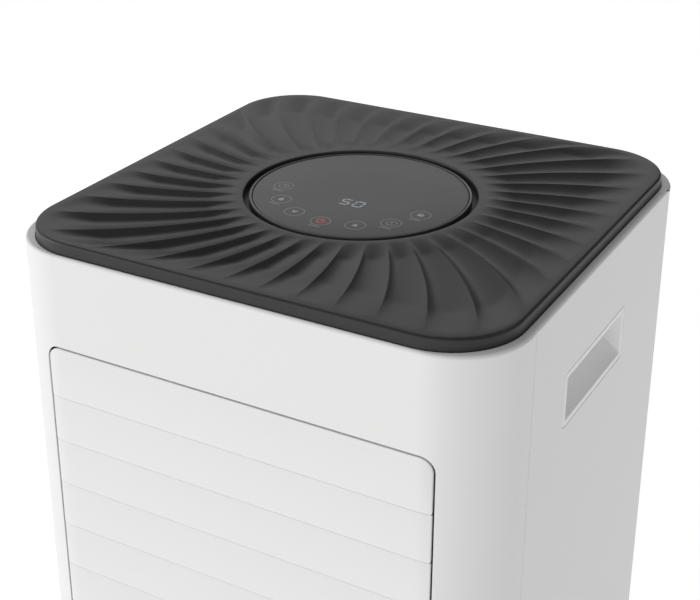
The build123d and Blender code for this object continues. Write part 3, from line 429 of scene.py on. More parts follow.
def bar(low, high, soft=0.3 * mm):
    """A straight bar between two corners, with its long edges taken off. It runs along its longest side."""
    size = [b - a for a, b in zip(low, high)]
    run = size.index(max(size))
    u, v = [axis for axis in range(3) if axis != run]
    outline = []
    for su, sv in ((0, 0), (1, 0), (1, 1), (0, 1)):
        corner_u, corner_v = (low[u], high[u])[su], (low[v], high[v])[sv]
        toward_u, toward_v = soft * (1 - 2 * su), soft * (1 - 2 * sv)
        pair = [(corner_u, corner_v + toward_v), (corner_u + toward_u, corner_v)]
        outline += pair if su == sv else pair[::-1]
    rings = []
    for end in (low[run], high[run]):
        ring = []
        for a, b in outline:
            point = [0.0, 0.0, 0.0]
            point[run], point[u], point[v] = end, a, b
            ring.append(tuple(point))
        rings.append(ring)
    return skin("bar", rings)


castor_zinc = metal("castor_zinc", (0.62, 0.63, 0.65), 0.34, stain=0.16)
castor_nylon = moulded("castor_nylon", (0.10, 0.103, 0.107), 0.5, grain=0.3 * mm, relief=0.01 * mm)
for corner in ("front_left", "front_right", "rear_left", "rear_right"):
    eased(f"castor_plated_fork_{corner}", f"castor_fork_{corner}", f"castor_{corner}", "castor_steel", castor_zinc,
          0.4 * mm)
    low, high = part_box(f"castor_wheel_{corner}")
    axle = (low + high) / 2
    radius, half = (high.z - low.z) / 2, (high.x - low.x) / 2
    rows = [(3.1 * mm, half), (6.5 * mm, half), (7.0 * mm, half - 0.5 * mm), (7.2 * mm, half - 3.0 * mm),
            (14.6 * mm, half - 3.0 * mm), (15.0 * mm, half - 0.6 * mm), (15.6 * mm, half - 0.1 * mm),
            (18.2 * mm, half - 0.2 * mm)]
    rows += [(radius - 1.9 * mm * (1 - sin(a)), half - 0.2 * mm - 1.9 * mm * (1 - cos(a)))
             for a in (0.3, 0.7, 1.1, pi / 2)]
    rows += [(radius, 2.6 * mm), (radius - 0.5 * mm, 2.2 * mm), (radius - 0.5 * mm, 1.4 * mm), (radius, 1.0 * mm)]
    rows += [(r, -h) for r, h in reversed(rows)]
    tyre = spun("tyre", [(r, axle.x + h) for r, h in rows], axle, "X", 64, wrap=True)
    spokes = []
    for sign in (-1, 1):
        x0, x1 = sorted((axle.x + sign * (half - 3.2 * mm), axle.x + sign * (half - 1.0 * mm)))
        spoke = bar((x0, axle.y - 0.7 * mm, axle.z + 6.8 * mm), (x1, axle.y + 0.7 * mm, axle.z + 15.2 * mm))
        spokes.append(round_copies("spokes", spoke, castor_nylon, 8, "X", axle))
    wheel = gather(f"castor_ribbed_wheel_{corner}", castor_nylon, tyre, *spokes)
    place_on(wheel, f"wheel_{corner}", "castor_wheel", f"castor_wheel_{corner}")


# Compressor. A welded steel can in black enamel with a bead round its middle, on three rubber feet that are bolted
# to the base pan. A lidded cap covers its terminals, and the accumulator stands beside it.
def enamel(name, colour, roughness, **fixed):
    """Sprayed enamel: a clear gloss over an orange-peel surface, duller where dust settles."""
    material, place, shader = finish(name, Coat_Weight=0.45, Coat_Roughness=0.12, **fixed)
    peel = noise(place, 420.0, 2.0, 0.55)
    dust = noise(place, 26.0, 5.0, 0.62)
    feed(shader, "Base Color", blend_colours(smooth(dust, 0.52, 0.78), colour, tone(colour, 2.2)))
    feed(shader, "Roughness", roughness + smooth(dust, 0.45, 0.75) * 0.25)
    feed(shader, "Normal", bump(peel, 0.03 * mm))
    return material


def dress(material, *nodes):
    """Gives CAD nodes whose shape is right their finish."""
    for node in nodes:
        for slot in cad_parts[node].material_slots:
            slot.material = material


black_enamel = enamel("black_enamel", (0.012, 0.012, 0.013, 1), 0.3)
dress(black_enamel, "compressor", "accumulator")
can_low, can_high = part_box("terminal_cover")
compressor_low, compressor_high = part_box("compressor")
grommet_low, grommet_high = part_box("compressor_grommets")
compressor_radius = 52.0 * mm
can_middle = Vector((60.0 * mm, 98.0 * mm, (compressor_low.z + compressor_high.z) / 2))
bead_ring = []
for part in range(10):
    angle = tau * part / 10
    bead_ring.append((compressor_radius + 1.1 * mm * cos(angle), 3.0 * mm * sin(angle)))
bead_rows = [[(can_middle.x + (r + s * 0.2 * mm) * cos(t), can_middle.y + (r + s * 0.2 * mm) * sin(t),
               can_middle.z + h) for r, h in bead_ring]
             for s, t in ((cos(step * pi), tau * step / 240) for step in range(240))]
weld = gather("compressor_weld_bead", black_enamel, skin("bead", bead_rows, wrap=True), angle=60)
place_on(weld, "cabinet", "compressor_black")

rubber = moulded("rubber", (0.022, 0.022, 0.023), 0.72, grain=0.25 * mm, relief=0.01 * mm, drift=0.12)
foot_circle, foot_angles = 66.0 * mm, (30, 150, 270)
feet = []
foot_low, foot_high = grommet_low.z, grommet_high.z
for angle in foot_angles:
    spot = (can_middle.x + foot_circle * cos(radians(angle)), can_middle.y + foot_circle * sin(radians(angle)), 0)
    rows = [(4.6 * mm, foot_low), (9.4 * mm, foot_low), (10.0 * mm, foot_low + 0.6 * mm),
            (10.0 * mm, foot_low + 4 * mm)]
    for fold in range(3):
        base = foot_low + (4.6 + 2.8 * fold) * mm
        rows += [(8.6 * mm, base), (8.6 * mm, base + 0.9 * mm), (9.7 * mm, base + 1.5 * mm),
                 (9.7 * mm, base + 2.2 * mm)]
    rows += [(9.4 * mm, foot_high - 0.5 * mm), (8.8 * mm, foot_high), (4.6 * mm, foot_high)]
    feet.append(spun("foot", rows, spot, "Z", 40, wrap=True))
place_on(gather("compressor_rubber_feet", rubber, *feet), "cabinet", "grommet_rubber", "compressor_grommets")

zinc_steel = metal("zinc_steel", (0.60, 0.61, 0.63), 0.32)
eased("compressor_foot_studs", "compressor_studs", "cabinet", "screw_steel", zinc_steel, 0.25 * mm)
inner_plastic = moulded("inner_plastic", (0.045, 0.046, 0.048), 0.5, grain=0.6 * mm)
quarter = (0.0, 0.4, 0.8, 1.2, pi / 2)
cap_middle = (can_low + can_high) / 2
cap_radius = (can_high.x - can_low.x) / 2
cap_rows = [(0, can_low.z), (cap_radius, can_low.z), (cap_radius, can_low.z + 2 * mm),
            (cap_radius - 0.6 * mm, can_low.z + 2.4 * mm), (cap_radius - 0.8 * mm, can_high.z - 5 * mm)]
cap_rows += [(cap_radius - 0.8 * mm - 4.4 * mm * (1 - cos(a)), can_high.z - 5 * mm + 4.6 * mm * sin(a))
             for a in quarter[1:]]
cap_rows += [(6 * mm, can_high.z - 0.4 * mm), (5.4 * mm, can_high.z - 1.2 * mm), (0, can_high.z - 1.2 * mm)]
grip_rib = bar((cap_middle.x + cap_radius - 1.3 * mm, cap_middle.y - 0.6 * mm, can_low.z + 2.5 * mm),
               (cap_middle.x + cap_radius - 0.1 * mm, cap_middle.y + 0.6 * mm, can_high.z - 5.5 * mm))
cap = gather("terminal_ribbed_cap", inner_plastic, spun("cap", cap_rows, cap_middle, "Z"),
             round_copies("cap_ribs", grip_rib, inner_plastic, 18, "Z", cap_middle))
place_on(cap, "cabinet", "compressor_black", "terminal_cover")


# Refrigerant pipes. Bent copper tube, dulled by handling and darker where it was heated to braze the joints, with a
# spun copper drier and a capillary tube.
def copper(name):
    material, place, shader = finish(name, Metallic=1.0)
    stain = noise(place, 30.0, 5.0, 0.65)
    fine = noise(place, 900.0, 2.0)
    bright = blend_colours(stain, (0.72, 0.33, 0.19, 1), (0.55, 0.22, 0.12, 1))
    dull = smooth(noise(place, 8.0, 3.0), 0.55, 0.72)
    feed(shader, "Base Color", blend_colours(dull * 0.7, bright, (0.20, 0.09, 0.06, 1)))
    feed(shader, "Roughness", 0.26 + stain * 0.18 + dull * 0.2 + (fine - 0.5) * 0.1)
    feed(shader, "Normal", bump(fine, 0.004 * mm))
    return material


copper_tube = copper("copper_tube")
dress(copper_tube, "discharge_pipe", "suction_pipe", "filter_drier", "capillary_tube", "evaporator_tube",
      "condenser_tube")


# Coils. Pressed aluminium fins, corrugated along the way of the air, stand close together on the copper tube between
# two folded sheet-steel end plates.
fin_aluminium = metal("fin_aluminium", (0.80, 0.81, 0.82), 0.30, drawn=(1.0, 1.0, 0.2), stain=0.08)
fin_thickness = 0.22 * mm
fin_pitch = 2.0 * mm
row_sizes = {f"{kind} {n}": 0.0 for kind in ("Step", "Row") for n in "XYZ"}
row_tree, size = group("copies_in_rows", {"Count": 1, "Rows": 1, **row_sizes})
made = size["Geometry"]
for count, step in (("Count", "Step"), ("Rows", "Row")):
    made = lined(made, size[count], joined(*(size[f"{step} {n}"] for n in "XYZ")))
close_group(row_tree, size, made)


def row_copies(name, shape, material, count, step, rows=1, row_step=(0.0, 0.0, 0.0)):
    """Copies of a shape along a line, and lines of them along another."""
    sizes = {"Count": count, "Rows": rows}
    sizes.update({f"Step {n}": value for n, value in zip("XYZ", step)})
    sizes.update({f"Row {n}": value for n, value in zip("XYZ", row_step)})
    return grown(name, row_tree, sizes, material, shape)


for coil in ("evaporator", "condenser"):
    low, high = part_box(f"{coil}_fins")
    folds = 10
    edge = []
    for fold in range(folds + 1):
        y = low.y + (high.y - low.y) * fold / folds
        edge.append((0.35 * mm * (1 if fold % 2 else -1), y))
    outline = [(x, y) for x, y in edge] + [(x + fin_thickness, y) for x, y in reversed(edge)]
    fin = skin("fin", [[(low.x + 0.45 * mm + x, y, z) for x, y in outline] for z in (low.z, high.z)])
    count = int((high.x - low.x - 1.2 * mm) / fin_pitch) + 1
    stack = gather(f"{coil}_fin_stack", fin_aluminium,
                   row_copies("fins", fin, fin_aluminium, count, (fin_pitch, 0.0, 0.0)), angle=20)
    place_on(stack, "cabinet", "fin_aluminium", f"{coil}_fins")
sheet_steel = metal("sheet_steel", (0.55, 0.56, 0.57), 0.38, stain=0.14)
dress(sheet_steel, "coil_end_plates")


# Drip tray, tank bay and level switch. The tray catches the water under the coils and lets it fall through a nozzle
# into the tank, whose bay walls it rests on. A sealed switch on the bay feels the float's magnet.
eased("drip_tray_moulding", "drip_tray", "cabinet", "inner_plastic", inner_plastic)
eased("tank_bay_moulding", "tank_bay", "cabinet", "inner_plastic", inner_plastic)
switch_black = moulded("switch_black", (0.018, 0.018, 0.019), 0.4, grain=0.3 * mm)
eased("level_switch_body", "level_switch", "cabinet", "switch_black", switch_black, 0.8 * mm)


# Fan. A moulded shroud leads the air to a five-bladed impeller, which a shaded motor turns on a short shaft. The
# motor hangs on a spider whose posts are screwed to the shroud.
eased("fan_shroud_moulding", "fan_shroud", "cabinet", "inner_plastic", inner_plastic)
eased("motor_spider", "motor_bracket", "cabinet", "sheet_steel", sheet_steel, 0.4 * mm)
low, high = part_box("fan_motor")
motor_middle, motor_radius = (low + high) / 2, (high.x - low.x) / 2
front_bell = [(4.1 * mm, low.y), (13 * mm, low.y), (14 * mm, low.y + 1 * mm), (14 * mm, low.y + 2 * mm)]
bell_inner, bell_round = motor_radius - 6 * mm, 5.6 * mm
front_bell += [(bell_inner + bell_round * sin(a), low.y + 2 * mm + 6 * mm * (1 - cos(a))) for a in quarter]
rear_bell = [(bell_inner + bell_round * sin(a), high.y - 6 * mm * (1 - cos(a))) for a in reversed(quarter)]
rear_bell += [(10 * mm, high.y), (9.4 * mm, high.y - 1 * mm), (0, high.y - 1 * mm)]
stack_low, stack_high = low.y + 14 * mm, high.y - 14 * mm
body_rows = front_bell + [(motor_radius - 0.4 * mm, stack_low), (motor_radius - 0.4 * mm, stack_high)] + rear_bell
bore_rows = [(0, low.y + 21 * mm), (4.1 * mm, low.y + 21 * mm)]
motor_body = spun("motor", bore_rows + body_rows, motor_middle, "Y", 72)
motor_steel = metal("motor_steel", (0.50, 0.51, 0.52), 0.42, stain=0.12)
disc_inner = motor_radius - 2 * mm
disc_rows = [(disc_inner, stack_low), (motor_radius, stack_low + 0.1 * mm), (motor_radius, stack_low + 0.5 * mm),
             (disc_inner, stack_low + 0.6 * mm)]
disc = spun("disc", disc_rows, motor_middle, "Y", 72, wrap=True)
disc_pitch = 0.8 * mm
disc_count = int((stack_high - stack_low) / disc_pitch)
discs = row_copies("discs", disc, motor_steel, disc_count, (0.0, disc_pitch, 0.0))
vent = bar((motor_middle.x + 19 * mm, high.y - 0.6 * mm, motor_middle.z - 1.6 * mm),
           (motor_middle.x + 26 * mm, high.y, motor_middle.z + 1.6 * mm))
vents = round_copies("vents", vent, motor_steel, 10, "Y", motor_middle)
place_on(gather("fan_motor_stack", motor_steel, motor_body, discs, vents), "cabinet", "motor_steel", "fan_motor")

low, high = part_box("fan_shaft")
shaft_middle, shaft_radius = (low + high) / 2, (high.x - low.x) / 2
shaft_rows = [(0, low.y), (shaft_radius - 0.7 * mm, low.y), (shaft_radius, low.y + 0.7 * mm),
              (shaft_radius, low.y + 2.0 * mm), (shaft_radius - 0.4 * mm, low.y + 2.2 * mm),
              (shaft_radius - 0.4 * mm, low.y + 2.8 * mm), (shaft_radius, low.y + 3.0 * mm),
              (shaft_radius, high.y - 0.6 * mm), (shaft_radius - 0.6 * mm, high.y), (0, high.y)]
shaft = gather("fan_grooved_shaft", zinc_steel, spun("shaft", shaft_rows, shaft_middle, "Y", 40))
place_on(shaft, "fan", "screw_steel", "fan_shaft")

fan_plastic = moulded("fan_plastic", (0.16, 0.165, 0.17), 0.42, grain=0.4 * mm, relief=0.01 * mm)
low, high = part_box("fan_impeller")
fan_front, fan_rear = low.y, high.y
fan_middle = Vector((0, (low.y + high.y) / 2, shaft_middle.z))
fan_radius, hub_radius, blade_count = 98.0 * mm, 26.0 * mm, 5
hub_rows = [(4.0 * mm, fan_front + 1.0 * mm), (9 * mm, fan_front + 0.5 * mm)]
hub_rows += [(hub_radius - 5 * mm + 5 * mm * sin(a), fan_front + 0.6 * mm + 5 * mm * (1 - cos(a)))
             for a in quarter]
hub_rows += [(hub_radius, fan_rear - 0.5 * mm), (hub_radius - 0.5 * mm, fan_rear), (hub_radius - 2 * mm, fan_rear),
             (hub_radius - 2 * mm, fan_front + 8 * mm), (9 * mm, fan_front + 6 * mm), (9 * mm, fan_rear - 2 * mm),
             (4.0 * mm, fan_rear - 2 * mm)]
hub = spun("hub", hub_rows, fan_middle, "Y", 72, wrap=True)
blade_rings = []
for station in range(15):
    share = station / 14
    radius = hub_radius - 2 * mm + (fan_radius - 0.5 * mm - hub_radius + 2 * mm) * share
    pitch = radians(50 - 20 * share)
    chord = min(42 * mm + 26 * mm * share, (fan_rear - fan_front - 3 * mm) / sin(pitch)) * (1 - 0.18 * share ** 8)
    half_round = []
    for part in range(9):
        along = part / 8 - 0.5
        camber = 0.08 * chord * (1 - 4 * along * along)
        thick = 1.1 * mm * max(0.35, (1 - (2 * along) ** 4) ** 0.5)
        half_round.append((along * chord, camber, thick))
    outline = [(a, c + t) for a, c, t in half_round] + [(a, c - t) for a, c, t in reversed(half_round)]
    ring = []
    for along, off in outline:
        sideways = along * cos(pitch) - off * sin(pitch)
        forward = along * sin(pitch) + off * cos(pitch)
        turn = sideways / radius + 0.25 * share
        ring.append((radius * cos(turn), fan_middle.y + forward, fan_middle.z + radius * sin(turn)))
    blade_rings.append(ring)
blades = round_copies("blades", skin("blade", blade_rings), fan_plastic, blade_count, "Y", fan_middle)
stiffener = bar((8.5 * mm, fan_front + 7 * mm, fan_middle.z - 0.8 * mm),
                (hub_radius - 1.5 * mm, fan_rear - 3 * mm, fan_middle.z + 0.8 * mm))
stiffeners = round_copies("stiffeners", stiffener, fan_plastic, 10, "Y", fan_middle)
impeller = gather("fan_curved_impeller", fan_plastic, hub, blades, stiffeners)
place_on(impeller, "fan", "fan_plastic", "fan_impeller")


# Electrics. The power board stands on posts in a moulded box on the left wall, with its relays, coils and connectors,
# and the compressor's run capacitor is clipped in beside it.
def board_finish(name, colour):
    """Solder mask over copper tracks: straight traces show as a faint relief and a lighter green."""
    material, place, shader = finish(name, Coat_Weight=0.3, Coat_Roughness=0.25)
    cells = place.new("ShaderNodeTexVoronoi", {"feature": "DISTANCE_TO_EDGE", "distance": "EUCLIDEAN"},
                      {"Vector": place, "Scale": 230.0})
    track = 1 - smooth(cells, 0.02, 0.10)
    feed(shader, "Base Color", blend_colours(track, colour, tone(colour, 1.7)))
    feed(shader, "Roughness", 0.35 + track * 0.15)
    feed(shader, "Normal", bump(track, 0.02 * mm))
    return material


def place_axes(mesh, axes, origin):
    """Stands a mesh drawn flat on (u, v, w) on another plane, by three axis vectors and an origin."""
    frame_matrix = Matrix([list(axis) for axis in axes]).transposed().to_4x4()
    mesh.transform(Matrix.Translation(origin) @ frame_matrix)
    return mesh


def can_shape(radius, height, parts=24):
    """A drawn aluminium can: rolled foot and a crimp under the top."""
    rows = [(0, 0), (radius - 0.4 * mm, 0), (radius, 0.4 * mm), (radius, 0.12 * height),
            (radius - 0.5 * mm, 0.15 * height), (radius, 0.18 * height), (radius, height - 0.5 * mm),
            (radius - 0.5 * mm, height), (radius - 1.2 * mm, height), (radius - 1.5 * mm, height - 0.3 * mm),
            (0, height - 0.3 * mm)]
    return spun("can", rows, (0, 0, 0), "Z", parts)


board_green = board_finish("circuit_board", (0.012, 0.075, 0.035, 1))
eased("power_box_moulding", "power_box", "cabinet", "inner_plastic", inner_plastic)
low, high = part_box("main_board")
board_axes = ((0, 1, 0), (0, 0, 1), (1, 0, 0))
half_y, half_z = (high.y - low.y) / 2, (high.z - low.z) / 2
board_middle = Vector((high.x, (low.y + high.y) / 2, (low.z + high.z) / 2))
eased("main_board_sheet", "main_board", "cabinet", "circuit_board", board_green, 0.15 * mm)
parts = []
for u, v, w, d, h in ((-38, 60, 19, 15, 15), (-12, 60, 19, 15, 15), (16, 62, 16, 12, 11), (40, 58, 10, 22, 9),
                      (-40, 30, 24, 20, 18), (-40, -8, 14, 26, 7), (-8, 20, 22, 22, 2.2), (24, 22, 8, 5, 2),
                      (24, 10, 8, 5, 2), (-6, -16, 30, 9, 12), (-44, -52, 9, 30, 9), (-20, -66, 36, 8, 9)):
    box_low = ((u - w / 2) * mm, (v - d / 2) * mm, 0)
    box_high = ((u + w / 2) * mm, (v + d / 2) * mm, h * mm)
    parts.append(place_axes(bar(box_low, box_high, 0.7 * mm), board_axes, board_middle))
place_on(gather("main_board_relays", switch_black, *parts), "cabinet", "switch_black")
cans = []
for u, v, radius, height in ((0, -46, 9, 20), (18, -20, 5, 12), (6, -24, 4, 9), (20, 38, 5, 11), (8, 44, 3.2, 8)):
    can = can_shape(radius * mm, height * mm)
    can.transform(Matrix.Translation((u * mm, v * mm, 0)))
    cans.append(place_axes(can, board_axes, board_middle))
drawn_can = metal("drawn_can", (0.70, 0.71, 0.72), 0.28, drawn=(0.2, 1.0, 1.0), stain=0.06)
place_on(gather("main_board_capacitors", drawn_can, *cans), "cabinet", "capacitor_can")
low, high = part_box("run_capacitor")
can = can_shape((high.x - low.x) / 2, high.z - low.z, 48)
x, y = (low.x + high.x) / 2, (low.y + high.y) / 2
can.transform(Matrix.Translation((x, y, low.z)))
tabs = [bar((x - 3 * mm, y + s * 4 * mm - 0.4 * mm, high.z - 0.4 * mm),
            (x + 3 * mm, y + s * 4 * mm + 0.4 * mm, high.z + 7 * mm), 0.1 * mm) for s in (-1, 1)]
place_on(gather("run_capacitor_can", drawn_can, can, *tabs), "cabinet", "capacitor_can", "run_capacitor")


# Top frame. A grey moulding that ties the two shells together under the cover and takes the upper case screws.
eased("top_frame_moulding", "top_frame", "cabinet", "inner_plastic", inner_plastic)


# Top cover. One black moulding with a rolled edge. Forty curved ridges run from the round well to a flat border, and
# the cover drops over the rim of the case on a skirt.
cover_low, cover_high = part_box("top_cover")
cover_top = cover_high.z
well_radius = 80.0 * mm
ridge_count = 40
ridge_steps = 20
ridge_start = radians(2.9)
ridge_start_radius = 92.8 * mm
ridge_depth = 2.5 * mm
ridge_depth_radius = 120.0 * mm
ridge_valley = 0.34
cover_corner = 48.0 * mm
cover_edge = 1.9 * mm
well_edge = 0.9 * mm
cover_plate = 6.0 * mm
skirt_wall = 3.0 * mm
skirt_flare = 0.7 * mm
cover_black = moulded("cover_black", (0.021, 0.021, 0.0215), 0.40, grain=0.45 * mm, relief=0.010 * mm, drift=0.06,
                      Specular_IOR_Level=0.40)


def cover_profile():
    """The cover's section: rows of (share of the way out, reach from the well, inset from the edge, height, ridged)."""
    rows = [(0.0, 0.0, 0.0, cover_top - cover_plate, 0.0)]
    for step in range(5):
        angle = step / 4 * pi / 2
        rows.append((0.0, well_edge * (1 - cos(angle)), 0.0, cover_top - well_edge * (1 - sin(angle)), 0.0))
    spans = 46
    for step in range(1, spans):
        share = step / spans
        rows.append((share, well_edge * (1 - share), cover_edge * share ** 12, cover_top, 1.0))
    for step in range(7):
        angle = step / 6 * pi / 2
        rows.append((1.0, 0.0, cover_edge * (1 - sin(angle)), cover_top - cover_edge * (1 - cos(angle)), 0.0))
    for drop in (0.35, 0.75):
        height = cover_top - cover_edge - drop * (cover_high.z - cover_low.z - cover_edge)
        rows.append((1.0, 0.0, -skirt_flare * drop, height, 0.0))
    rows.append((1.0, 0.0, -skirt_flare, cover_low.z + 0.3 * mm, 0.0))
    rows.append((1.0, 0.0, 0.3 * mm - skirt_flare, cover_low.z, 0.0))
    rows.append((1.0, 0.0, skirt_wall, cover_low.z, 0.0))
    rows.append((1.0, 0.0, skirt_wall, cover_top - cover_plate, 0.0))
    return rows + rows[:1]


def twist(radius):
    """How far a ridge has turned back at a radius, in radians."""
    scale = cover_high.x * 2
    turn = (radius - ridge_start_radius) * (radians(24) / scale)
    past = radius - 0.27 * scale
    return turn + past * past * (radians(16.5) / scale / scale)


cover_sizes = {
    "Ridges": ridge_count, "Steps": ridge_steps, "Start": ridge_start, "Well": well_radius,
    "Half width": cover_high.x, "Half depth": cover_high.y,
    "Corner": cover_corner, "Depth": ridge_depth, "Valley": ridge_valley,
}
cover_tree, size = group("swirl_cover", cover_sizes)
rows = cover_profile()
section = bpy.data.meshes.new("cover_section")
section.from_pydata([row[1:4] for row in rows], [], [])
for name, column in (("share", 0), ("ridged", 4)):
    section.attributes.new(name, "FLOAT", "POINT").data.foreach_set("value", [row[column] for row in rows])
columns = size["Ridges"] * size["Steps"]
grid = columns.new("GeometryNodeMeshGrid", None, {"Size X": 1.0, "Size Y": 1.0, "Vertices X": columns + 1.0,
                                                 "Vertices Y": len(rows)})
index = grid.new("GeometryNodeInputIndex")
column = ((index + 0.5) / len(rows)).math("FLOOR")
row = index - column * len(rows)
whole = ((column + 0.5) / size["Steps"]).math("FLOOR")
part = column / size["Steps"] - whole
phase = part - (part * tau).math("SINE") * 0.11
angle = size["Start"] + (whole + phase) * tau / size["Ridges"]


def row_value(kind, value):
    places = {"Geometry": size["Geometry"], 1: value, "Index": row}
    return row.new("GeometryNodeSampleIndex", {"data_type": kind}, places)


def attribute(name):
    return row.new("GeometryNodeInputNamedAttribute", {"data_type": "FLOAT"}, {"Name": name})


share = row_value("FLOAT", attribute("share"))
ridged = row_value("FLOAT", attribute("ridged"))
sampled = row_value("FLOAT_VECTOR", row.new("GeometryNodeInputPosition"))
split = sampled.new("ShaderNodeSeparateXYZ", None, {0: sampled})
reach_in, inset, height = split.out("X"), split.out("Y"), split.out("Z")


def edge_radius(turn):
    """The distance from the middle to the cover's outline in a direction."""
    x, y = turn.math("COSINE").math("ABSOLUTE"), turn.math("SINE").math("ABSOLUTE")
    flat = (size["Half width"] / x.math("MAXIMUM", 1e-5)).math("MINIMUM", size["Half depth"] / y.math("MAXIMUM", 1e-5))
    middle_x, middle_y = size["Half width"] - size["Corner"], size["Half depth"] - size["Corner"]
    along = x * middle_x + y * middle_y
    off = middle_x * middle_x + middle_y * middle_y - size["Corner"] * size["Corner"]
    round_part = along + (along * along - off).math("MAXIMUM", 0.0).math("SQRT")
    in_corner = (flat * x > middle_x) * (flat * y > middle_y)
    return flat + in_corner * (round_part - flat)


edge = size["Half width"]
for _ in range(12):
    edge = (edge + edge_radius(angle - twist(edge))) * 0.5
radius = size["Well"] + share * (edge - size["Well"])
turn = angle - twist(radius)
cosine, sine = turn.math("COSINE"), turn.math("SINE")
corner_x = (cosine * radius).math("ABSOLUTE") - (size["Half width"] - size["Corner"])
corner_y = (sine * radius).math("ABSOLUTE") - (size["Half depth"] - size["Corner"])
is_corner = (corner_x > 0.0) * (corner_y > 0.0)
on_side = (corner_x - size["Corner"]) > (corner_y - size["Corner"])
length = (corner_x * corner_x + corner_y * corner_y).math("SQRT").math("MAXIMUM", 1e-6)
normal_x = (is_corner * corner_x / length + (1 - is_corner) * on_side) * (cosine.math("SIGN"))
normal_y = (is_corner * corner_y / length + (1 - is_corner) * (1 - on_side)) * (sine.math("SIGN"))
falling = (1 - phase / size["Valley"]).math("MAXIMUM", 0.0) ** 1.8
rising = ((phase - size["Valley"]) / (1 - size["Valley"])).math("MAXIMUM", 0.0) ** 1.8
from_well = ((radius - size["Well"] - 4.0 * mm) / (20.0 * mm)).math("MAXIMUM", 0.0).math("MINIMUM", 1.0)
from_edge = ((edge - radius - 6.0 * mm) / (30.0 * mm)).math("MAXIMUM", 0.0).math("MINIMUM", 1.0)
depth = size["Depth"] * (radius / ridge_depth_radius) ** 0.6 * from_well * from_edge * ridged
drop = depth * (1 - falling - rising)
x = cosine * (radius + reach_in) - normal_x * inset
y = sine * (radius + reach_in) - normal_y * inset
spot = joined(x, y, height - drop)
moved = spot.new("GeometryNodeSetPosition", None, {"Geometry": grid, "Position": spot})
merged = moved.new("GeometryNodeMergeByDistance", None, {"Geometry": moved, "Distance": 0.002 * mm})
close_group(cover_tree, size, merged)
cover_mesh = grown("cover", cover_tree, cover_sizes, cover_black, section)
place_on(gather("top_cover_swirled", cover_black, cover_mesh, angle=60), "cabinet", "cover_black", "top_cover")


# Controls. A carrier clipped under the cover holds the circuit board. Coiled springs on the board press against the
# back of the dark glass as touch keys, and two figures shine through it. A thin ring frames the glass.
eased("display_carrier_dish", "display_carrier", "cabinet", "inner_plastic", inner_plastic)
eased("control_board_sheet", "control_board", "cabinet", "circuit_board", board_green, 0.15 * mm)
board_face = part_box("control_board")[1].z
glass_low, glass_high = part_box("control_glass")
chips = []
for x, y, wide, deep, high in ((-20, 20, 12, 12, 1.4), (12, 26, 16, 6, 1.8), (30, 4, 7, 10, 1.6), (-36, -4, 6, 4, 1.2),
                               (0, 50, 24, 7, 5.5), (-2, 2, 5, 3, 1.0), (8, 2, 5, 3, 1.0), (-28, -14, 4, 4, 1.0),
                               (26, -20, 4, 3, 1.0), (-16, 40, 4, 4, 3.0)):
    chips.append(bar(((x - wide / 2) * mm, (y - deep / 2) * mm, board_face),
                     ((x + wide / 2) * mm, (y + deep / 2) * mm, board_face + high * mm), 0.15 * mm))
leg = bar((-26.8 * mm, 14.6 * mm, board_face), (-26.0 * mm, 15.0 * mm, board_face + 0.3 * mm), 0.05 * mm)
legs = row_copies("legs", leg, zinc_steel, 12, (0.0, 0.95 * mm, 0.0), 2, (12.8 * mm, 0.0, 0.0))
place_on(gather("control_board_chips", switch_black, *chips), "cabinet", "switch_black")
place_on(gather("control_chip_legs", zinc_steel, legs), "cabinet", "screw_steel")

key_circle = 54.5
spring_sizes = {"Turns": 6.0, "Radius": 4.1 * mm, "Wire": 0.4 * mm, "Rise": glass_low.z - board_face - 0.8 * mm,
                "Circle": key_circle * mm, "Floor": board_face + 0.4 * mm, "First": radians(-165), "Step": radians(25),
                "Keys": 7}
spring_tree, size = group("touch_key_springs", spring_sizes)
path = size["Turns"].new("GeometryNodeCurveSpiral", None, {"Resolution": 20, "Rotations": size["Turns"],
                                                          "Start Radius": size["Radius"] * 0.92,
                                                          "End Radius": size["Radius"], "Height": size["Rise"]})
wire = path.new("GeometryNodeCurvePrimitiveCircle", {"mode": "RADIUS"}, {"Resolution": 8, "Radius": size["Wire"]})
coil = path.new("GeometryNodeCurveToMesh", None, {"Curve": path, "Profile Curve": wire, "Fill Caps": True})
spots = coil.new("GeometryNodeMeshLine", None, {"Count": size["Keys"], "Offset": (0, 0, 0)})
bearing = size["First"] + spots.new("GeometryNodeInputIndex") * size["Step"]
spot = joined(bearing.math("COSINE") * size["Circle"], bearing.math("SINE") * size["Circle"], size["Floor"])
spots = spot.new("GeometryNodeSetPosition", None, {"Geometry": spots, "Position": spot})
close_group(spring_tree, size, spots.new("GeometryNodeInstanceOnPoints", None, {"Points": spots, "Instance": coil}))
spring_steel = metal("spring_steel", (0.60, 0.60, 0.61), 0.25)
springs = gather("touch_key_coils", spring_steel, grown("springs", spring_tree, spring_sizes, spring_steel), angle=50)
place_on(springs, "cabinet", "spring_steel", "touch_springs")
eased("display_module_body", "digit_display", "cabinet", "display_white", switch_black, 0.3 * mm)

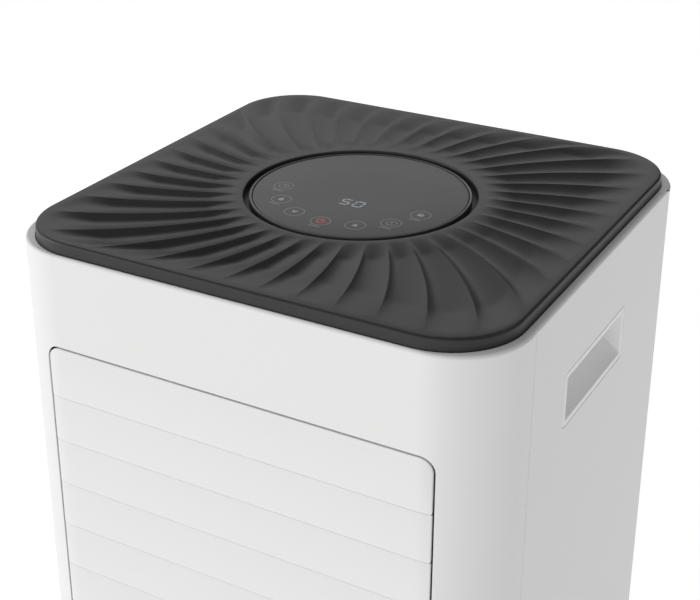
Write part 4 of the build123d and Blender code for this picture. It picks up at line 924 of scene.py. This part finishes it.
ring_low, ring_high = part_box("control_ring")
ring_outer, ring_inner = ring_high.x, ring_high.x - 2.0 * mm
ring_ledge, ring_dome = ring_inner - 3 * mm, 0.6 * mm
ring_shoulder, ring_half = ring_high.z - ring_dome, (ring_outer - ring_inner) / 2
ring_rows = [(ring_outer, ring_low.z), (ring_outer, ring_shoulder)]
ring_rows += [((ring_outer + ring_inner) / 2 + ring_half * cos(a), ring_shoulder + ring_dome * sin(a))
              for a in (0.35, 0.7, 1.05, 1.4, 1.75, 2.1, 2.45, 2.8)]
ring_rows += [(ring_inner, ring_shoulder), (ring_inner, glass_low.z), (ring_ledge, glass_low.z),
              (ring_ledge, ring_low.z)]
ring_dark = moulded("ring_dark", (0.035, 0.036, 0.038), 0.32, grain=0.4 * mm, relief=0.006 * mm)
trim = gather("control_trim_ring", ring_dark, spun("ring", ring_rows, (0, 0, 0), "Z", 144, wrap=True), angle=40)
place_on(trim, "cabinet", "ring_dark", "control_ring")


def tinted_glass(name, colour, roughness):
    """Dark back-printed glass, faintly smeared by fingers."""
    material, place, shader = finish(name, IOR=1.5)
    smear = noise(place, 14.0, 2.0)
    fine = noise(place, 700.0, 2.0)
    feed(shader, "Base Color", blend_colours(smear, colour, tone(colour, 1.06)))
    feed(shader, "Roughness", roughness + smear * 0.04 + (fine - 0.5) * 0.02)
    return material


touch_glass = tinted_glass("touch_glass", (0.082, 0.082, 0.083, 1), 0.42)
glass_radius, glass_soft = glass_high.x, 0.6 * mm
glass_rows = [(0, glass_low.z), (glass_radius - 0.3 * mm, glass_low.z), (glass_radius, glass_low.z + 0.3 * mm)]
glass_rows += [(glass_radius - glass_soft * (1 - cos(a)), glass_high.z - glass_soft * (1 - sin(a)))
               for a in quarter]
glass_rows += [(glass_radius / 2, glass_high.z), (0, glass_high.z)]
glass = gather("control_round_glass", touch_glass, spun("glass", glass_rows, (0, 0, 0), "Z", 144), angle=40)
place_on(glass, "cabinet", "touch_glass", "control_glass")

mark_low, mark_high = glass_high.z - 0.02 * mm, glass_high.z + 0.03 * mm


def printed(outline, x=0.0, y=0.0):
    """A printed mark on the glass: an outline in millimetres about a point."""
    spots = [((x + u) * mm, (y + v) * mm) for u, v in outline]
    return skin("mark", [[(u, v, z) for u, v in spots] for z in (mark_low, mark_high)])


def printed_ring(x, y, radius, line):
    rows = [(radius - line, mark_low), (radius, mark_low), (radius, mark_high), (radius - line, mark_high)]
    return spun("mark", [(r * mm, z) for r, z in rows], (x * mm, y * mm, 0), "Z", 48, wrap=True)


def slab(x0, y0, x1, y1):
    return [(x0, y0), (x1, y0), (x1, y1), (x0, y1)]


def key_spot(bearing):
    """The middle of the touch key at a bearing in degrees."""
    return key_circle * cos(radians(bearing)), key_circle * sin(radians(bearing))


drop_shape = [(1.9 * cos(radians(a)), -0.7 + 1.9 * sin(radians(a))) for a in range(-210, 31, 20)] + [(0, 3.0)]
signs = {
    -165: [slab(-0.25, -0.25, 0.25, 2.6), slab(-0.25, -0.25, 1.9, 0.25)],
    -140: [drop_shape],
    -115: [[(-2.4, 1.7), (0, -2.2), (2.4, 1.7)]],
    -90: [],
    -65: [[(-2.4, -1.7), (2.4, -1.7), (0, 2.2)]],
    -40: [slab(-0.25, -0.25, 0.25, 1.9), slab(-1.6, -3.1, -0.9, -2.4), slab(0.9, -3.1, 1.6, -2.4)],
    -15: [slab(-2.1, -2.0, 2.1, 0.9), slab(-1.5, 0.9, -1.0, 2.3), slab(1.0, 0.9, 1.5, 2.3), slab(-1.5, 2.3, 1.5, 2.8)],
}
pale_marks = []
for bearing, outlines in signs.items():
    x, y = key_spot(bearing)
    pale_marks += [printed_ring(x, y, 6.9, 0.35)] + [printed(outline, x, y) for outline in outlines]
    if bearing in (-165, -40):
        pale_marks.append(printed_ring(x, y, 3.6, 0.35))
    if bearing in (-165, -140, -90, -40, -15):
        pale_marks.append(printed(slab(-4.2, -9.2, 4.2, -8.6), x, y))
print_pale = moulded("print_pale", (0.42, 0.43, 0.44), 0.5, grain=0.1 * mm, relief=0.001 * mm)
place_on(gather("touch_key_marks", print_pale, *pale_marks), "cabinet", "display_white")


def glowing(name, colour, glow):
    """Light behind the glass: an even colour that is a little uneven in strength."""
    material, place, shader = finish(name, Emission_Strength=glow, Roughness=0.4)
    uneven = noise(place, 160.0, 2.0)
    feed(shader, "Base Color", blend_colours(uneven, tone(colour, 0.5), tone(colour, 0.6)))
    feed(shader, "Emission Color", blend_colours(uneven, tone(colour, 0.85), colour))
    return material


power_red = glowing("power_red", (0.75, 0.03, 0.04, 1), 0.35)
power_spot = key_spot(-90)
power_parts = [printed_ring(*power_spot, 3.0, 0.75), printed(slab(-0.35, 0.6, 0.35, 3.9), *power_spot)]
place_on(gather("power_key_light", power_red, *power_parts), "cabinet", "display_white")

digit_wide, digit_high, stroke = 7.4, 10.0, 1.35
u, v, w = digit_wide / 2 - stroke / 2, digit_high / 2 - stroke / 2, stroke / 2
gap = 0.25


def across_bar(y):
    tip, shoulder = u - gap, u - gap - w
    return [(-tip, y), (-shoulder, y + w), (shoulder, y + w), (tip, y), (shoulder, y - w), (-shoulder, y - w)]


def upright_bar(x, low, high):
    foot, head = low + gap + w, high - gap - w
    return [(x, low + gap), (x + w, foot), (x + w, head), (x, high - gap), (x - w, head), (x - w, foot)]


strokes = {"a": across_bar(v), "g": across_bar(0), "d": across_bar(-v), "f": upright_bar(-u, 0, v),
           "b": upright_bar(u, 0, v), "e": upright_bar(-u, -v, 0), "c": upright_bar(u, -v, 0)}
low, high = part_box("digit_display")
display_x, display_y = (low.x + high.x) / 2 / mm, (low.y + high.y) / 2 / mm
figures = []
for x, lit in ((display_x - 4.9, "afgcd"), (display_x + 4.9, "abcdef")):
    figures += [printed([(a + b * 0.09, b) for a, b in strokes[name]], x, display_y) for name in lit]
digit_white = glowing("digit_white", (0.62, 0.66, 0.70, 1), 0.14)
place_on(gather("display_figures", digit_white, *figures), "cabinet", "display_white")


# Shells. Two white wrap-round mouldings meet in an upright seam on each side. Their rim turns in under the cover, and
# the rear one is screwed to the base pan and the top frame.
case_white = moulded("case_white", (0.775, 0.775, 0.77), 0.40, grain=0.40 * mm, relief=0.006 * mm, drift=0.012,
                     Specular_IOR_Level=0.45)
eased("front_shell_moulding", "front_shell", "cabinet", "case_white", case_white, 0.45 * mm)
eased("rear_shell_moulding", "rear_shell", "cabinet", "case_white", case_white, 0.45 * mm)
shell_low, shell_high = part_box("front_shell")
face = shell_low.y
side = shell_high.x
case_corner = 47.0 * mm
flat_half = side - case_corner


def case_front(x):
    """Where the front of the case lies at a distance from its middle, as it turns the corner."""
    past = max(0.0, abs(x) - flat_half)
    return face + case_corner - sqrt(case_corner * case_corner - past * past)


# Case screws. Four zinc-plated pan heads with a cross recess, sunk in the back.
screws_low, screws_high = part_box("case_screws")
head_radius, head_height, head_dome = 4.2 * mm, 1.2 * mm, 0.7 * mm
dome_foot = screws_high.y - head_dome
screw_rows = [(0, screws_low.y), (1.2 * mm, screws_low.y), (2.0 * mm, screws_low.y + 1.4 * mm),
              (2.0 * mm, screws_high.y - head_height), (head_radius, screws_high.y - head_height),
              (head_radius, dome_foot)]
screw_rows += [(head_radius * cos(a) ** 0.6, dome_foot + head_dome * sin(a)) for a in (0.5, 0.9, 1.2)]
screw_rows += [(0.6 * mm, screws_high.y), (0, screws_high.y)]
screw_x, screw_z = screws_low.x + head_radius, screws_low.z + head_radius
screw = spun("screw", screw_rows, (screw_x, 0, screw_z), "Y", 32)
span_x, span_z = screws_high.x - screws_low.x - 2 * head_radius, screws_high.z - screws_low.z - 2 * head_radius
screw_sizes = {"Span X": span_x, "Span Z": span_z, "Head X": screw_x, "Head Y": screws_high.y, "Head Z": screw_z,
               "Arm": 4.4 * mm, "Slot": 0.9 * mm, "Depth": 1.5 * mm}
screw_tree, size = group("recessed_screws", screw_sizes)
cutters = []
for wide, tall in (("Arm", "Slot"), ("Slot", "Arm")):
    extent = joined(size[wide], size["Depth"], size[tall])
    cutters.append(extent.new("GeometryNodeMeshCube", None, {"Size": extent}))
cross = cutters[0].new("GeometryNodeJoinGeometry")
for cutter in cutters:
    cross.tree.links.new(cutter.socket, cross.socket.node.inputs[0])
head_spot = joined(size["Head X"], size["Head Y"], size["Head Z"])
cross = cross.new("GeometryNodeTransform", None, {"Geometry": cross, "Translation": head_spot})
recessed = cross.new("GeometryNodeMeshBoolean", {"operation": "DIFFERENCE"},
                     {"Mesh 1": size["Geometry"], "Mesh 2": cross})
pair = lined(recessed, 2, joined(size["Span X"], 0, 0))
close_group(screw_tree, size, lined(pair, 2, joined(0, 0, size["Span Z"])))
screws = gather("case_cross_screws", zinc_steel, grown("screws", screw_tree, screw_sizes, zinc_steel, screw), angle=40)
place_on(screws, "cabinet", "screw_steel", "case_screws")


# Side grips. A white scoop is clipped into each side of the rear shell. It is deepest under its upper edge, where the
# fingers hook in, and runs out level with the shell at its foot.
grip_white = moulded("grip_white", (0.88, 0.88, 0.875), 0.45, grain=0.40 * mm, relief=0.006 * mm, drift=0.012)
for name in ("left", "right"):
    eased(f"side_grip_scoop_{name}", f"handle_cup_{name}", "cabinet", "case_white", grip_white, 0.5 * mm)


# Outlet grille. A grey frame in the back with inclined blades, so that the air leaves upwards and no finger gets in.
def rounded_outline(x, low_z, high_z, half, corner, y, steps=6):
    """Points (x, y, z) of an upright rounded rectangle at one depth."""
    points = []
    for cx, cz, start in ((half - corner, high_z - corner, 0), (corner - half, high_z - corner, 1),
                          (corner - half, low_z + corner, 2), (half - corner, low_z + corner, 3)):
        for step in range(steps + 1):
            angle = (start + step / steps) * pi / 2
            points.append((x + cx + corner * cos(angle), y, cz + corner * sin(angle)))
    return points


def frame_shape(profile, x, low_z, high_z, half, corner):
    """A frame: its section is a loop of (inset, y), carried round a rounded rectangle."""
    rings = []
    for inset, y in profile:
        round_corner = max(corner - inset, 0.4 * mm)
        rings.append(rounded_outline(x, low_z + inset, high_z - inset, half - inset, round_corner, y))
    return skin("frame", rings, wrap=True)


low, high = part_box("outlet_grille")
border, lip = 8.0 * mm, 4.0 * mm
inner_back, opening = high.y - 2.5 * mm, lip + border
outlet_profile = [(0, low.y), (0, inner_back), (lip, inner_back), (lip, high.y - 0.8 * mm),
                  (lip + 0.25 * mm, high.y - 0.25 * mm), (lip + 0.8 * mm, high.y), (opening - 1.2 * mm, high.y),
                  (opening - 0.4 * mm, high.y - 0.4 * mm), (opening, high.y - 1.2 * mm), (opening, low.y)]
outlet_frame = frame_shape(outlet_profile, 0, low.z, high.z, high.x, 12.0 * mm)
slat_count, slat_tilt = 13, radians(30)
clear_low, clear_high = low.z + opening, high.z - opening
slat_pitch = (clear_high - clear_low) / (slat_count + 1)
slat_half, slat_depth, slat_thick = high.x - opening + 0.5 * mm, 6.4 * mm, 1.7 * mm
slat_middle_y, slat_first = (low.y + high.y) / 2, clear_low + slat_pitch
slat_outline = []
for along, off in ((-0.5, -0.3), (-0.5, 0.3), (-0.42, 0.5), (0.42, 0.5), (0.5, 0.2), (0.5, -0.2), (0.42, -0.5),
                   (-0.42, -0.5)):
    a, b = along * slat_depth, off * slat_thick
    slat_outline.append((slat_middle_y + a * cos(slat_tilt) + b * sin(slat_tilt),
                         slat_first - a * sin(slat_tilt) + b * cos(slat_tilt)))
slat = skin("slat", [[(x, y, z) for y, z in slat_outline] for x in (-slat_half, slat_half)])
outlet_grey = moulded("outlet_grey", (0.24, 0.245, 0.25), 0.5, grain=0.5 * mm, relief=0.02 * mm)
slats = row_copies("slats", slat, outlet_grey, slat_count, (0.0, 0.0, slat_pitch))
rib_first = -high.x * 0.75
rib = bar((rib_first, low.y + 0.4 * mm, clear_low - 1 * mm),
          (rib_first + 1.6 * mm, high.y - 3.4 * mm, clear_high + 1 * mm))
ribs = row_copies("ribs", rib, outlet_grey, 7, (high.x * 0.25 - 0.27 * mm, 0.0, 0.0))
outlet = gather("outlet_bladed_grille", outlet_grey, outlet_frame, slats, ribs, angle=30)
place_on(outlet, "cabinet", "base_grey", "outlet_grille")


# Drain outlet, plug and cord gland. A cup sunk in the back holds the hose spout, which a rubber plug shuts. The gland
# beside it grips the mains lead.
eased("drain_cup_and_spout", "drain_spout", "cabinet", "base_grey", base_grey, 0.4 * mm)
low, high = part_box("drain_plug")
plug_middle, plug_radius = (low + high) / 2, (high.x - low.x) / 2
plug_tip = high.y - 2.6 * mm
plug_rows = [(0, low.y), (4.2 * mm, low.y), (4.9 * mm, low.y + 1.4 * mm)]
for groove in range(3):
    y = low.y + (3.0 + 3.2 * groove) * mm
    plug_rows += [(4.9 * mm, y), (4.4 * mm, y + 0.5 * mm), (4.4 * mm, y + 1.1 * mm), (4.9 * mm, y + 1.6 * mm)]
plug_rows += [(4.9 * mm, plug_tip), (plug_radius, plug_tip), (plug_radius, high.y - 0.9 * mm),
              (plug_radius - 0.3 * mm, high.y - 0.3 * mm), (plug_radius - 0.9 * mm, high.y), (3 * mm, high.y),
              (2.4 * mm, high.y - 0.6 * mm), (0, high.y - 0.6 * mm)]
nib = bar((plug_middle.x + plug_radius - 0.7 * mm, plug_tip + 0.2 * mm, plug_middle.z - 0.5 * mm),
          (plug_middle.x + plug_radius, high.y - 1.0 * mm, plug_middle.z + 0.5 * mm), 0.15 * mm)
plug = gather("drain_rubber_plug", rubber, spun("plug", plug_rows, plug_middle, "Y", 48),
              round_copies("nibs", nib, rubber, 16, "Y", plug_middle))
place_on(plug, "plug", "plug_rubber", "drain_plug")
eased("cord_gland_nut", "cord_gland", "cabinet", "switch_black", switch_black, 0.5 * mm)


# Water tank. A clear box that slides out under the intake panel on two rails, behind a white front with a grip
# hollow and a level window with a scale. Its float hangs from two ears on the back wall.
def clear_plastic(name, colour, roughness, drift=0.03):
    """Clear moulded plastic, a little cloudy, with flow marks."""
    material, place, shader = finish(name, IOR=1.49, Transmission_Weight=0.88)
    slow = noise(place, 12.0, 3.0)
    fine = noise(place, 500.0, 2.0)
    feed(shader, "Base Color", blend_colours(slow, colour, tone(colour, 1 - drift)))
    feed(shader, "Roughness", roughness + (slow - 0.5) * 0.08)
    feed(shader, "Normal", bump(fine, 0.004 * mm))
    return material


tank_clear = clear_plastic("tank_clear", (0.86, 0.90, 0.93, 1), 0.16)
eased("water_tank_moulding", "water_tank", "tank", "tank_clear", tank_clear, 0.5 * mm)
eased("tank_front_moulding", "tank_front", "tank", "case_white", case_white, 0.7 * mm)
window_clear = clear_plastic("window_clear", (0.30, 0.34, 0.38, 1), 0.08)
eased("tank_level_window", "level_window", "tank", "window_clear", window_clear, 0.5 * mm)
low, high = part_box("level_window")
mark_white = moulded("mark_white", (0.75, 0.76, 0.77), 0.6, grain=0.1 * mm, relief=0.001 * mm)
tick = bar((low.x + 4 * mm, low.y - 0.06 * mm, low.z + 14 * mm),
           (high.x - 6 * mm, low.y + 0.04 * mm, low.z + 14.5 * mm), 0.02 * mm)
ticks = row_copies("ticks", tick, mark_white, 13, (0.0, 0.0, 5 * mm))
place_on(gather("tank_level_scale", mark_white, ticks), "tank", "display_white")
float_white = moulded("float_white", (0.78, 0.78, 0.76), 0.6, grain=0.8 * mm, relief=0.05 * mm, drift=0.05)
eased("tank_float_arm", "float_arm", "tank_float", "float_white", float_white, 0.4 * mm)
eased("tank_float_foam", "float_block", "tank_float", "float_white", float_white, 1.2 * mm)


# Intake panel. Eight overlapping white boards lie almost level with one another, so only a hairline shows between
# them. They are moulded on upright ribs, tilt out on two pins at the foot, and carry a washable filter behind.
low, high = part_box("intake_grille")
half, panel_top, panel_foot = high.x - 0.3 * mm, high.z - 0.3 * mm, low.z
corner, soft, notch = 9.0 * mm, 0.3 * mm, 1.4 * mm
pivot_y, pivot_z = face + corner, panel_foot + corner
board_pitch, first_line, board_count = 33.8 * mm, 487.8 * mm, 8
board_thick, board_lean, hairline = 2.2 * mm, 0.12 * mm, 0.22 * mm


def end_stations():
    """Places across the panel, close together where it rounds its corners: (x, how far the front is drawn back)."""
    right_half = [(half - notch * share, 0.0) for share in (1.0, 0.7, 0.45)] + [(half - soft, 0.0)]
    right_half += [(half - soft * (1 - sin(a)), soft * (1 - cos(a))) for a in quarter[1:]]
    inner = [(flat_half * step / 4, 0.0) for step in range(5)]
    bend = [(flat_half + (half - notch - flat_half) * step / 12, 0.0) for step in range(1, 12)]
    stations = inner + bend + right_half
    return [(-x, pull) for x, pull in reversed(stations[1:])] + stations


def corner_drop(x, corner):
    """How much a rounded corner takes off the height at a place."""
    past = max(0.0, abs(x) - (half - corner))
    return corner - sqrt(max(0.0, corner * corner - past * past))


def top_edge(x, front, top):
    """The rounded upper edge of a board."""
    return [(x, front + board_lean + soft * (1 - cos(a)), top - soft * (1 - sin(a))) for a in quarter]


def board_ring(x, pull, foot, top):
    """The section of a board: both its edges are rounded, and a lip at its top lies behind the board above."""
    front = case_front(x) + pull
    foot_edge = [(x, front + soft * (1 - cos(a)), foot + soft * (1 - sin(a))) for a in reversed(quarter)]
    back = max(face + board_thick, front + soft + 0.8 * mm)
    return [(x, back, foot)] + foot_edge + top_edge(x, front, top) + [(x, back + board_lean, top)]


stations = end_stations()
line_heights = [first_line - board_pitch * number for number in range(board_count)]
top_board = skin("board", [board_ring(x, pull, first_line + corner_drop(x, notch), panel_top - corner_drop(x, corner))
                           for x, pull in stations])
middle_top = first_line - hairline
middle_board = skin("board", [board_ring(x, pull, line_heights[1] + corner_drop(x, notch), middle_top)
                              for x, pull in stations])
foot_rings = []
for x, pull in stations:
    front = case_front(x) + pull
    bend_radius = corner - corner_drop(x, corner)
    top = line_heights[-2] - hairline
    ring = top_edge(x, front, top)
    ring += [(x, face + board_thick + board_lean + 1.2 * mm, top), (x, pivot_y + bend_radius * 0.3, pivot_z + 6 * mm)]
    for step in range(13):
        turn = -pi * step / 12
        y = max(pivot_y + bend_radius * cos(turn), front)
        ring.append((x, y, pivot_z + bend_radius * sin(turn)))
    foot_rings.append(ring)
foot_board = skin("board", foot_rings)
middle_boards = row_copies("boards", middle_board, case_white, board_count - 2, (0.0, 0.0, -board_pitch))
panel_rear = high.y
rib = bar((-half + 6 * mm, face + 2.9 * mm, pivot_z + 6 * mm), (-half + 7.4 * mm, panel_rear, panel_top - 9.5 * mm))
rib_count = 17
panel_ribs = row_copies("ribs", rib, case_white, rib_count, ((2 * half - 13.4 * mm) / (rib_count - 1), 0.0, 0.0))
top_rail = bar((-half + 4 * mm, face + 2.6 * mm, panel_top - 8 * mm),
               (half - 4 * mm, panel_rear, panel_top - 3 * mm), 0.6 * mm)
panel = gather("intake_louvred_panel", case_white, top_board, middle_boards, foot_board, panel_ribs, top_rail, angle=40)
place_on(panel, "intake_panel", "case_white", "intake_grille")
low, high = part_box("hinge_pins")
pin_middle, pin_radius, pin_length = (low + high) / 2, (high.z - low.z) / 2, 14 * mm
pin_end = low.x + pin_length
pin_rows = [(0, low.x), (pin_radius - 0.4 * mm, low.x), (pin_radius, low.x + 0.6 * mm),
            (pin_radius, pin_end - 0.4 * mm), (pin_radius - 0.3 * mm, pin_end), (0, pin_end)]
pin = spun("pin", pin_rows, pin_middle, "X", 32)
pins = gather("panel_hinge_pins", zinc_steel,
              row_copies("pins", pin, zinc_steel, 2, (high.x - low.x - pin_length, 0.0, 0.0)))
place_on(pins, "intake_panel", "screw_steel", "hinge_pins")
filter_grey = moulded("filter_grey", (0.13, 0.135, 0.14), 0.55, grain=0.5 * mm)
eased("filter_rim", "filter_frame", "intake_panel", "filter_grey", filter_grey, 0.4 * mm)
low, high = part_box("filter_mesh")
thread, mesh_pitch = 0.45 * mm, 2.4 * mm
net_y = (low.y + high.y) / 2
warp = bar((low.x, net_y - thread, low.z), (low.x + thread, net_y, high.z), 0.1 * mm)
weft = bar((low.x, net_y, low.z), (high.x, net_y + thread, low.z + thread), 0.1 * mm)
warps = row_copies("warps", warp, filter_grey, int((high.x - low.x) / mesh_pitch), (mesh_pitch, 0.0, 0.0))
wefts = row_copies("wefts", weft, filter_grey, int((high.z - low.z) / mesh_pitch), (0.0, 0.0, mesh_pitch))
place_on(gather("filter_woven_net", filter_grey, warps, wefts), "intake_panel", "filter_net", "filter_mesh")
